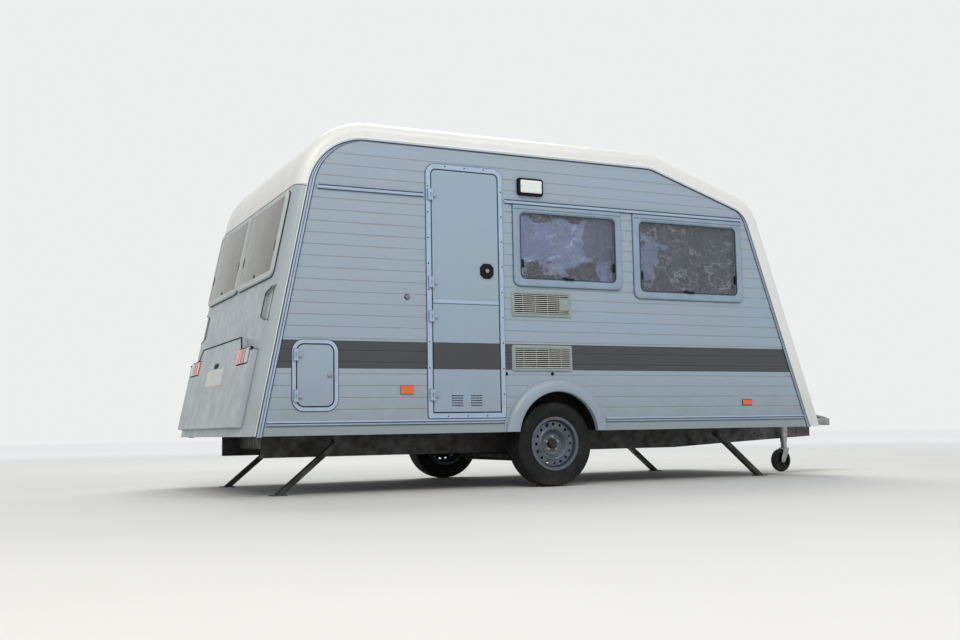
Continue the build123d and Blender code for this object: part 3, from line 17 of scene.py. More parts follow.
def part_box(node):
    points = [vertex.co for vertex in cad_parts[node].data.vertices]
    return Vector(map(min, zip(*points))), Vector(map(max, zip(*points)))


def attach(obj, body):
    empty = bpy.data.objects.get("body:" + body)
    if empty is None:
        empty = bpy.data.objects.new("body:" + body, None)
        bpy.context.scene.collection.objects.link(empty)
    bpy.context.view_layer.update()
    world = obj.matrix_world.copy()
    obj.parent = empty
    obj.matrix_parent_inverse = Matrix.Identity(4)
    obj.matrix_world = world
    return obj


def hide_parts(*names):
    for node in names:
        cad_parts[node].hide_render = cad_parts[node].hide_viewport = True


bl_info = {
    "name": "Travel caravan",
    "version": (1, 0, 0),
    "blender": (4, 5, 0),
    "location": "View3D > Sidebar > Caravan",
    "description": "Builds the visible surfaces of a single-axle travel caravan around its frame",
    "category": "Object",
}

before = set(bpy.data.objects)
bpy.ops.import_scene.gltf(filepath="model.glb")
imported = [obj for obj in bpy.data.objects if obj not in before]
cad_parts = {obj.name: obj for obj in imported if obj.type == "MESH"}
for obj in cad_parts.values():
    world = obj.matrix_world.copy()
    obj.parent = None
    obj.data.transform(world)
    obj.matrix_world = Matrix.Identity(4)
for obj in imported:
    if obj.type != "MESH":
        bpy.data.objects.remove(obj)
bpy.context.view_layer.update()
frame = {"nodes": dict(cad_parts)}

MM = 0.001
TAU = 2 * math.pi


def corner(node, end):
    """Lowest (0) or highest (1) corner of a frame node, as an array."""
    return np.array(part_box(node)[end])


# Places read from the frame
AXLE = (corner("tyre_right", 0) + corner("tyre_right", 1)) / 2 * (1, 0, 1)
HALF_WIDTH = -corner("side_wall_right", 0)[1]
BODY_BOTTOM = corner("side_wall_right", 0)[2]
ROOF_Z = corner("roof_panel", 1)[2]
SHEET_TOP_Z = corner("side_wall_right", 1)[2]
REAR_FOOT_X = corner("rear_wall", 0)[0]
FRONT_FOOT_X = corner("front_wall", 1)[0]
WALL_T = HALF_WIDTH + corner("side_wall_right", 1)[1]
SHEET_TOP = ROOF_Z - SHEET_TOP_Z
REAR_SEAM_Z = corner("rear_cap", 0)[2]
ROOF_SEAM_XS = (corner("roof_panel", 0)[0], corner("roof_panel", 1)[0])

# Lean of the rear and front and the pitch of the nose, as the frame has them
REAR_LEAN = math.radians(11.8)
FRONT_LEAN = math.radians(18.85)
NOSE_PITCH = math.radians(18.1)
NOSE_BREAK_X = AXLE[0] + 0.907
BEND_RADII = {"rear": 0.520, "nose": 0.450, "brow": 0.340}
EDGE_R = 0.080
SHEET_REAR, SHEET_FRONT = 0.085, 0.150
SHEET_SEAM_X = AXLE[0] + 0.170
LOWEST_GROOVE = 0.120
STRIP_LAP = 0.006
STRIP_WIDTHS = (0.012, 0.040, 0.024)
STRIPE_Z = (0.842, 1.029)
LINING = "C4BDAD"

# Windows by their frame's outer edges, along the body from the axle and up from the ground
SIDE_WINDOWS = {
    "right": ((-0.329, 0.594, 1.450, 2.046), (0.704, 1.731, 1.394, 2.046)),
    "left": ((-1.560, -0.637, 1.450, 2.046), (0.704, 1.731, 1.394, 2.046)),
}
END_WINDOW_YS = ((-1.000, -0.022), (0.022, 1.000))
REAR_WINDOW_Z = (1.458, 2.050)
FRONT_WINDOW_Z = (1.400, 2.030)
WINDOW_CORNER_R = 0.055
SIDE_FRAME_RADII = (0.050, 0.008)
WINDOW_LAP = 0.016
LAP_R = WINDOW_CORNER_R - WINDOW_LAP
WINDOW_FRAME_W = 0.058
# Ends of the rails over the side windows, along X from the axle
RAILS = {"right": ((-1.802, -1.024), (-0.398, 1.744)), "left": ((-1.802, 1.744),)}
# How far out of the wall's face the foil and the blinds lie, and the height and depth of a blind's pleat
FOIL_OUT, BLIND_OUT, PLEAT, PLEAT_DEPTH = -0.018, -0.020, 0.022, 0.004
# How far noise pushes the foil's patches, and where the foil has a painted reflection of open sky: ends along X
# from the axle, ends along Z, strength
FOIL_PUSH = 0.44
FOIL_PAINTED_SKIES = (
    (-2.0, 0.29, 1.60, 1.97, 1.0), (0.29, 0.60, 1.66, 2.05, 0.35), (0.40, 0.55, 1.48, 1.68, 0.8),
    (0.70, 0.93, 1.54, 1.82, 0.8), (0.86, 1.08, 1.82, 1.87, 0.8),
)

DOOR = (AXLE[0] - 1.010, AXLE[0] - 0.412, 0.503, 2.293)
DOOR_RADII = (0.014, 0.075)
DOOR_FRAME_W = 0.036
DOOR_GAP = 0.007
DOOR_SPLIT_Z = 1.330
DOOR_PROUD = 0.008
LOCKER = (AXLE[0] - 1.971, AXLE[0] - 1.659, 0.560, 1.031)
LOCKER_R = 0.080
LOCKER_FRAME_W = 0.026
# Hinges of door and locker: their pivot edge, the length of their leaf and their heights
HINGES = (
    (DOOR[0] + DOOR_FRAME_W, 0.0245, (2.070, 1.451, 1.211, 0.665)),
    (LOCKER[0] + LOCKER_FRAME_W, 0.0165, (0.930, 0.660)),
)
# Side vents: their ends along X from the axle, and the foot and head of each
VENTS_X, VENTS_Z = (-0.350, 0.140), ((0.834, 1.018), (1.230, 1.415))
ARCH_Z = 0.360
ARCH_CUT_R = 0.392
ARCH_FOOT_R = 0.432
CUT_REACH = 0.080
TRACK_Y = 0.990
TYRE_R = 0.310
TREAD_HALF_W = 0.070
BOLT_CIRCLE_R = 0.049
# Valve in the rim: its angle, radius and place out from the wheel's middle, and how far it leans inwards
VALVE = {"turn": 1.9, "radius": 0.158, "out": 0.040, "lean": 0.35}
DOOR_LOCK = (AXLE[0] - 0.547, 1.545)
# Louvres in the lower leaf: start of each group from the axle, width, middle height, pitch and number in a group
LOUVRES = {"starts": (-0.831, -0.685), "width": 0.082, "z": 0.628, "pitch": 0.017, "count": 5}
# Places across and up: tail lamps with their width and height, number plate, gas locker lid, front handles,
# marker lamps, and from the axle the buttons and the hook on the sides
TAIL_LAMP = (0.790, 0.930, 0.328, 0.118)
PLATE_HALF_W, PLATE_Z = 0.270, (0.760, 0.880)
GAS_LID_HALF_W, GAS_LID_Z = 0.640, (0.500, 1.010)
HANDLES = (0.88, 1.115, 0.086)
MARKERS = (0.93, 2.101)
BUTTONS = ((-0.402, 0.814), (-0.025, 0.816))
HOOK = (AXLE[0] - 1.158, 1.339)
# Grab recess in each rear corner: middle height, inner end, and its height at the inner and outer end
GRAB = {"z": 1.275, "inner_y": 0.880, "line_y": 1.022, "inner_h": 0.160, "outer_h": 0.265, "depth": 0.018}

CHASSIS_FINISHES = {
    "galvanised": (
        "side_members", "drawbars", "cross_members", "leg_brackets", "axle_tube",
        "leg_rear_left", "leg_rear_right", "leg_front_left", "leg_front_right",
    ),
    "forged": ("trailing_arms", "draw_gear", "brake_lever", "wheel_boxes"),
    "zinc": ("jockey_clamp", "jockey_tube", "jockey_fork", "gas_hinges", "coupling_head"),
    "floor ply": ("floor",),
    "lining ply": ("gas_box",),
    "tyre": ("jockey_wheel",),
}

# Studio lamps: place, width, watts and colour. The camera's place, its yaw, pitch and roll, and its focal
# length as a share of the picture's width
STUDIO_LAMPS = (
    ("key", (-6.0, -9.0, 9.0), 7.0, 620.0, "FFF6EA"),
    ("fill", (3.0, -11.0, 10.0), 5.0, 300.0, "EAF1FF"),
    ("top", (1.0, 5.5, 9.5), 7.0, 640.0, "FFFDF8"),
)
CAMERA_PLACE = (-4.620, -8.161, 0.420)
CAMERA_TURN = (0.4465, 0.0986, 0.0175)
CAMERA_FOCUS = 1108.26 / 960


# Planes are an origin and the directions across, up and out of the surface
def side_plane(sign):
    out = np.array((0, sign * 1.0, 0))
    return HALF_WIDTH * out, np.array((1.0, 0, 0)), np.array((0, 0, 1.0)), out


def end_plane(foot_x, lean, way):
    """Plane of the leaning rear (way -1) or front (way 1), with up measured along its slope from its foot."""
    up = np.array((-way * math.sin(lean), 0, math.cos(lean)))
    out = np.array((way * math.cos(lean), 0, math.sin(lean)))
    return np.array((foot_x, 0, BODY_BOTTOM)), np.array((0, 1.0, 0)), up, out


def up_slope(z, lean):
    return (z - BODY_BOTTOM) / math.cos(lean)


def end_boxes(heights, lean):
    low, high = (up_slope(z, lean) for z in heights)
    return [(y0, y1, low, high) for y0, y1 in END_WINDOW_YS]


RIGHT, LEFT = side_plane(-1), side_plane(1)
SIDES = {"right": RIGHT, "left": LEFT}
REAR = end_plane(REAR_FOOT_X, REAR_LEAN, -1)
FRONT = end_plane(FRONT_FOOT_X, FRONT_LEAN, 1)
ENDS = {"rear": (REAR, end_boxes(REAR_WINDOW_Z, REAR_LEAN)), "front": (FRONT, end_boxes(FRONT_WINDOW_Z, FRONT_LEAN))}


def raised(plane, out):
    return plane[0] + out * plane[3], *plane[1:]


def placed(plane, u, v, n):
    """Points on a plane: its origin, plus u across, v up and n out."""
    origin, across, up, out = plane
    u, v, n = np.broadcast_arrays(np.asarray(u, float), v, n)
    return origin + u[..., None] * across + v[..., None] * up + n[..., None] * out


def mm(*values):
    """Points of a profile from millimetres, two values to a point."""
    return np.reshape(values, (-1, 2)) * MM


# Boxes are the ends across and the ends up
def box_at(u, v, width, height):
    return u - width / 2, u + width / 2, v - height / 2, v + height / 2


def inset_box(box, by):
    return box[0] + by, box[1] - by, box[2] + by, box[3] - by


def from_axle(box):
    return AXLE[0] + box[0], AXLE[0] + box[1], box[2], box[3]


# A shape is its points and a list of face arrays, each with one number of corners
def grid_shape(points, wrap_rows=False, wrap_columns=False, caps=False):
    """Surface over a grid of points: each face joins a point to the next in its row and column."""
    rows, columns = points.shape[:2]
    r = np.arange(rows if wrap_rows else rows - 1)[:, None]
    c = np.arange(columns if wrap_columns else columns - 1)[None, :]
    r2, c2 = (r + 1) % rows, (c + 1) % columns
    quads = np.stack([r * columns + c, r * columns + c2, r2 * columns + c2, r2 * columns + c], -1)
    faces = [quads.reshape(-1, 4)]
    if caps:
        ends = np.arange(columns)
        faces.append(np.array([ends[::-1], (rows - 1) * columns + ends]))
    return points.reshape(-1, 3), faces


def shell(points):
    """Closed shell of loops of points, each loop joined to the next and the first and last one capped."""
    return grid_shape(points, wrap_columns=True, caps=True)


def joined(shapes):
    """Several shapes as one: the faces of each count on from the points before it."""
    starts = np.cumsum([0] + [len(points) for points, _ in shapes])
    faces = [array + start for (_, arrays), start in zip(shapes, starts) for array in arrays]
    return np.concatenate([points for points, _ in shapes]), faces


def arc(start, end, steps):
    """Angles in degrees, evenly spaced, in radians."""
    return np.radians(np.linspace(start, end, steps + 1))


def whole_turn(steps):
    return np.linspace(0, TAU, steps, endpoint=False)


def rounded_loop(box, radius, inset, steps):
    """Loop round a rounded rectangle drawn in by inset: each corner a quarter circle about its own centre.

    radius is one value, or one for the two lower corners and one for the two upper.
    """
    u0, u1, v0, v1 = box
    low, high = (radius, radius) if np.isscalar(radius) else radius
    radii = np.maximum(np.array([low, high, high, low]) - inset, 0.0004)
    centre_u = np.array([u1, u1, u0, u0]) + np.array([-1, -1, 1, 1]) * (inset + radii)
    centre_v = np.array([v0, v1, v1, v0]) + np.array([1, -1, -1, 1]) * (inset + radii)
    turn = np.radians(np.array([-90, 0, 90, 180]))[:, None] + arc(0, 90, steps)
    u = centre_u[:, None] + radii[:, None] * np.cos(turn)
    v = centre_v[:, None] + radii[:, None] * np.sin(turn)
    return u.ravel(), v.ravel()


def ring(plane, box, radius, profile, closed=True, caps=False, steps=8):
    """Profile of (inset, out) points carried round a rounded rectangle; closed joins its last point to its first.

    A point may give its own corner radius as a third value.
    """
    loops = [rounded_loop(box, sum(point[::2]) if len(point) > 2 else radius, point[0], steps) for point in profile]
    points = np.stack([placed(plane, u, v, point[1]) for (u, v), point in zip(loops, profile)])
    return grid_shape(points, wrap_rows=closed, wrap_columns=True, caps=caps)


def plate(plane, box, radius, profile, steps=8):
    """Rounded plate: a profile of (inset, out) points from its back edge to its face, closed at both ends."""
    return ring(plane, box, radius, profile, closed=False, caps=True, steps=steps)


def bar(plane, start, end, section, upright=False):
    """Section of (across, out) points carried in a straight line between two places, closed at its ends."""
    across, out = np.array(section).T
    along = np.array([start, end])[:, None]
    u, v = (across[None], along) if upright else (along, across[None])
    return shell(placed(plane, u, v, out[None]))


def flat_section(low, high, base, top, edge=None):
    """Section of a flat bar from low to high, its two outer edges eased by edge."""
    if edge is None:
        return [(low, base), (low, top), (high, top), (high, base)]
    return [(low, base), (low, top - edge), (low + edge, top), (high - edge, top), (high, top - edge), (high, base)]


def disc(plane, u, v, profile, steps=24):
    """Profile of (radius, out) points turned about the axis square to a plane at u, v, closed at both ends."""
    radius, out = np.array(profile, float).T[..., None]
    turn = whole_turn(steps)
    return shell(placed(plane, u + radius * np.cos(turn), v + radius * np.sin(turn), out))


def dome(plane, u, v, radius, height, base=-MM):
    """Low dome, such as a screw's head: circles that shrink by a cosine as they rise by a sine."""
    rise = np.linspace(0, math.pi / 2 * 0.98, 4)
    profile = np.stack([radius * np.cos(rise), height * np.sin(rise)], 1)
    return disc(plane, u, v, [(radius, base), *profile], steps=12)


def tube(path, radius, steps=8):
    """Circle carried along a path, square to it: its frame is the path's direction crossed with a fixed one."""
    ahead = np.gradient(path, axis=0)
    ahead /= np.linalg.norm(ahead, axis=1)[:, None]
    fixed = np.eye(3)[int(np.argmin(np.ptp(path, axis=0)))]
    across = np.cross(ahead, fixed)
    across /= np.linalg.norm(across, axis=1)[:, None]
    up = np.cross(across, ahead)
    turn = whole_turn(steps)[:, None]
    radius = np.broadcast_to(radius, len(path))[:, None, None]
    return shell(path[:, None] + radius * (np.cos(turn) * across[:, None] + np.sin(turn) * up[:, None]))


def spaced(start, end, pitch):
    """Places from start to end about one pitch apart, half a step in from each end."""
    count = max(1, round(abs(end - start) / pitch))
    return start + (np.arange(count) + 0.5) * (end - start) / count


def merged(mesh, distance):
    """Work copy of a mesh with its doubled points merged."""
    work = bmesh.new()
    work.from_mesh(mesh)
    bmesh.ops.remove_doubles(work, verts=work.verts, dist=distance)
    return work


def mesh_from(name, shapes):
    """Mesh of the joined shapes, with doubled points merged and each closed shell's faces turned outwards."""
    points, faces = joined(shapes)
    mesh = bpy.data.meshes.new(name)
    mesh.from_pydata(points.tolist(), [], [face for array in faces for face in array.tolist()])
    work = merged(mesh, 1e-6)
    bmesh.ops.dissolve_degenerate(work, edges=work.edges, dist=1e-6)
    bmesh.ops.recalc_face_normals(work, faces=work.faces)
    work.to_mesh(mesh)
    work.free()
    return mesh


def set_sharp(mesh, sharp):
    mesh.shade_smooth()
    mesh.set_sharp_from_angle(angle=math.radians(sharp))


def declare(piece, body, replaces):
    """Hang a piece under the empty of the body it rides on, and hide the frame nodes it stands for."""
    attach(piece, body)
    if replaces:
        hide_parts(*replaces)


def linked(name, data):
    """New object at the origin in the scene."""
    thing = bpy.data.objects.new(name, data)
    bpy.context.scene.collection.objects.link(thing)
    return thing


def add_piece(name, shapes, key, body="caravan", replaces=(), sharp=32.0):
    """Piece of joined shapes in a finish."""
    mesh = mesh_from(name, shapes)
    mesh.materials.append(finish(key))
    set_sharp(mesh, sharp)
    piece = linked(name, mesh)
    declare(piece, body, replaces)
    return piece


def keep_result(piece, sharp=None):
    """Put a piece's modifiers into its mesh; without a sharp angle the modifiers' own normals stay."""
    bpy.context.view_layer.update()
    shown = piece.evaluated_get(bpy.context.evaluated_depsgraph_get())
    mesh = bpy.data.meshes.new_from_object(shown)
    piece.modifiers.clear()
    piece.data = mesh
    if sharp:
        set_sharp(mesh, sharp)


def cut(piece, shapes, sharp):
    """Cut closed shapes out of a piece, and keep the result as its mesh."""
    cutter = linked("cutter", mesh_from("cutter", shapes))
    modifier = piece.modifiers.new("openings", "BOOLEAN")
    modifier.operation = "DIFFERENCE"
    modifier.solver = "EXACT"
    modifier.use_self = True
    modifier.object = cutter
    keep_result(piece, sharp)
    bpy.data.objects.remove(cutter)


def eased_copy(name, node, key, body="caravan", width=0.002, sharp=28.0):
    """Copy of a frame node with its doubled points merged and its sharp edges eased, standing for the node.

    Normals are weighted by face area, so that the flat faces stay flat to the eye up to their eased edges.
    """
    mesh = frame["nodes"][node].data.copy()
    work = merged(mesh, 2e-5)
    bmesh.ops.dissolve_limit(work, angle_limit=math.radians(0.6), verts=work.verts, edges=work.edges)
    work.to_mesh(mesh)
    work.free()
    mesh.materials.clear()
    mesh.materials.append(finish(key))
    mesh.shade_smooth()
    piece = linked(name, mesh)
    if width:
        bevel = piece.modifiers.new("eased edges", "BEVEL")
        bevel.width = width
        bevel.segments = 2
        bevel.limit_method = "ANGLE"
        bevel.angle_limit = math.radians(sharp)
        bevel.use_clamp_overlap = True
        piece.modifiers.new("weighted normals", "WEIGHTED_NORMAL").keep_sharp = True
    keep_result(piece, None if width else 40.0)
    declare(piece, body, [node])


def set_finish(key, *nodes):
    """Give frame nodes that stay as they are a material, on their objects and not on their meshes."""
    for node in nodes:
        for place in frame["nodes"][node].material_slots:
            place.link = "OBJECT"
            place.material = finish(key)


def linear(code):
    """sRGB hex colour to linear light."""
    parts = np.array([int(code[i : i + 2], 16) for i in (0, 2, 4)]) / 255
    return tuple(float(p) for p in np.where(parts <= 0.04045, parts / 12.92, ((parts + 0.055) / 1.055) ** 2.4))


def rgba(colour):
    """Colour with full alpha, from a hex code or from the name of one of the user's colours."""
    chosen = getattr(bpy.context.scene.caravan_colours, colour, None)
    return (*(linear(colour) if chosen is None else chosen), 1.0)


def add_node(tree, kind, inputs, **settings):
    """Node of a kind with its settings, and each input set to a value or linked from an output."""
    node = tree.nodes.new("ShaderNode" + kind)
    for name, value in settings.items():
        setattr(node, name, value)
    for key, value in inputs.items():
        if isinstance(value, bpy.types.NodeSocket):
            tree.links.new(value, node.inputs[key])
        else:
            node.inputs[key].default_value = value
    return node


# A mask is a function of a material's tree and object coordinates that gives an output, mostly from 0 to 1
def patches(size, low=0.0, high=1.0, stretch=(1, 1, 1), detail=3.0, spread=0.15):
    """Mask that wanders from low to high in patches of about size metres; spread narrows its middle values."""

    def build(tree, place):
        scaled = add_node(tree, "Mapping", {"Vector": place, "Scale": stretch}).outputs[0]
        noise = add_node(tree, "TexNoise", {"Vector": scaled, "Scale": 1 / size, "Detail": detail})
        ends = {"From Min": 0.5 - spread, "From Max": 0.5 + spread, "To Min": low, "To Max": high}
        return add_node(tree, "MapRange", {"Value": noise.outputs[0], **ends}).outputs[0]

    return build


def reach(axis, low, high, soft=0.0):
    """Mask that is one between two places along an axis; soft is the run over which it fades at each end."""

    def build(tree, place):
        value = add_node(tree, "SeparateXYZ", {0: place}).outputs[axis]
        if not soft:
            middle, half = (low + high) / 2, (high - low) / 2
            return add_node(tree, "Math", {0: value, 1: middle, 2: half}, operation="COMPARE").outputs[0]
        rise = {"Value": value, "From Min": low - soft, "From Max": low}
        fall = {"Value": value, "From Min": high + soft, "From Max": high}
        masks = [add_node(tree, "MapRange", ends).outputs[0] for ends in (rise, fall)]
        return add_node(tree, "Math", dict(enumerate(masks)), operation="MULTIPLY").outputs[0]

    return build


def overlap(*masks):
    """Mask where several masks meet: their product."""

    def build(tree, place):
        result = masks[0](tree, place)
        for mask in masks[1:]:
            factors = {0: result, 1: mask(tree, place)}
            result = add_node(tree, "Math", factors, operation="MULTIPLY").outputs[0]
        return result

    return build


def read_at(other, mask):
    """The same mask, read at other coordinates."""
    return lambda tree, place: mask(tree, other)


def pattern(kind, scale, output, **settings):
    """Mask straight from an output of one of Blender's patterns."""
    return lambda tree, place: add_node(tree, kind, {"Vector": place, "Scale": scale}, **settings).outputs[output]


def grooves(tree, place):
    """Mask of the grooves between ribs: the height from the top groove folded at half the rib pitch."""
    size = bpy.context.scene.caravan_sizes
    height = add_node(tree, "SeparateXYZ", {0: place}).outputs[2]
    height = add_node(tree, "Math", {0: height, 1: size.rib_top}, operation="SUBTRACT").outputs[0]
    folded = add_node(tree, "Math", {0: height, 1: size.rib_pitch / 2}, operation="PINGPONG").outputs[0]
    ends = {"Value": folded, "From Min": 0.0065, "From Max": 0.0035}
    return add_node(tree, "MapRange", ends).outputs[0]


def skin(comparison):
    """Mask of the outer skin, or of all that lies within it: how far out a point is, against the wall's face."""

    def build(tree, place):
        out = add_node(tree, "SeparateXYZ", {0: place}).outputs[1]
        out = add_node(tree, "Math", {0: out}, operation="ABSOLUTE").outputs[0]
        return add_node(tree, "Math", {0: out, 1: HALF_WIDTH - 0.005}, operation=comparison).outputs[0]

    return build


def spangle(tree, place):
    """Zinc spangle 15 mm across: each cell of a pattern has its own strength."""
    cell = add_node(tree, "TexVoronoi", {"Vector": place, "Scale": 1 / 0.015}).outputs[1]
    return add_node(tree, "MapRange", {"Value": cell, "To Min": 0.0, "To Max": 0.4}).outputs[0]


def far_off(tree, place):
    """Mask that rises from 5 to 18 m away from the middle of the floor."""
    run = add_node(tree, "VectorMath", {0: place}, operation="LENGTH").outputs["Value"]
    ends = {"Value": run, "From Min": 5.0, "From Max": 18.0, "To Max": 0.5}
    return add_node(tree, "MapRange", ends).outputs[0]


def foil_films(tree, place):
    """Films of the foil: brown patches, ragged patches of painted sky reflection, and pale crease lines of painted
    highlight.

    The painted sky's patches are read at coordinates pushed about by noise. A crease highlight is where a noise
    passes its middle: a mask that rises there times one that falls.
    """
    wander = add_node(tree, "TexNoise", {"Vector": place, "Scale": 5.0, "Detail": 5.0}).outputs[1]
    push = {0: wander, 1: (FOIL_PUSH, FOIL_PUSH, FOIL_PUSH), 2: place}
    bent = add_node(tree, "VectorMath", push, operation="MULTIPLY_ADD").outputs[0]
    films = [(patches(0.25, 0, 0.7, detail=4.0, spread=0.06), "63606B")]
    # Lilac patches painted where the foil would reflect open sky
    for *ends, share in FOIL_PAINTED_SKIES:
        x0, x1, z0, z1 = np.add(from_axle(ends), FOIL_PUSH / 2).tolist()
        sky = [read_at(bent, reach("X", x0, x1, 0.012)), read_at(bent, reach("Z", z0, z1, 0.012))]
        films.append((overlap(overlap(*sky), patches(0.08, 0.75 * share, share, detail=4.0)), "B4C0F2"))
    # Pale lines along the creases: painted highlights
    for size, detail, strength in ((0.10, 5.0, 2.4), (0.045, 3.0, 1.4)):
        run = {"stretch": (0.6, 1, 1), "detail": detail, "spread": 0.03}
        where = read_at(bent, patches(0.16, -0.5, 1.0, spread=0.07))
        crease = overlap(patches(size, 0, strength, **run), patches(size, 1.0, 0.0, **run), where)
        films.append((crease, "D9DAE4"))
    return films


class Finish(NamedTuple):
    """A finish: its usual slot, the real material, its colour and roughness, and what varies over it.

    films are (mask, colour) laid over one another, or a function that gives them, rough is the mask of the
    roughness, bumps are (height, depth in metres) laid on one another, even the shader's other values.
    """

    slot: str
    material: str
    colour: str
    roughness: float
    films: object = ()
    rough: object = None
    bumps: tuple = ()
    even: dict = {}


def grain(size, depth):
    """Bump so fine that its noise needs little detail of its own."""
    return patches(size, detail=1.0), depth


def gel_coat(material, colour, film, dirt):
    """Moulded polyester with a gel coat: glossy once, now chalky, a thin film over it and dirt low down."""
    films = [
        (patches(0.6, 0, 0.4), film),
        (patches(0.07, 0, 0.06, stretch=(1, 1, 0.12)), dirt),
        (overlap(reach("Z", 0.3, 0.60, 0.3), patches(0.30, 0, 0.40)), dirt),
    ]
    bumps = [(patches(0.6), 0.0015), grain(0.006, 0.00005)]
    return Finish("moulding", material, colour, 0.4, films, patches(0.12, 0.30, 0.50), bumps, {"Coat Weight": 0.1})


def lamp_lens(material, colour, deep):
    """Moulded lamp lens with prisms behind its face: clear colour over a darker one, in 6 mm cells."""
    cells = pattern("TexVoronoi", 1 / 0.006, 0)
    films = [(cells, deep), (patches(0.05, 0, 0.3), deep)]
    even = {"Coat Weight": 0.5, "IOR": 1.49}
    return Finish("tail_lens", material, colour, 0.12, films, None, [(cells, 0.0004)], even)


STRIPE = overlap(skin("GREATER_THAN"), reach("Z", *STRIPE_Z))
WITHIN = skin("LESS_THAN")
FLOOR_GRAIN = patches(0.003, stretch=(0.04, 1, 1))
LINING_GRAIN = patches(0.006, stretch=(1, 1, 0.04))

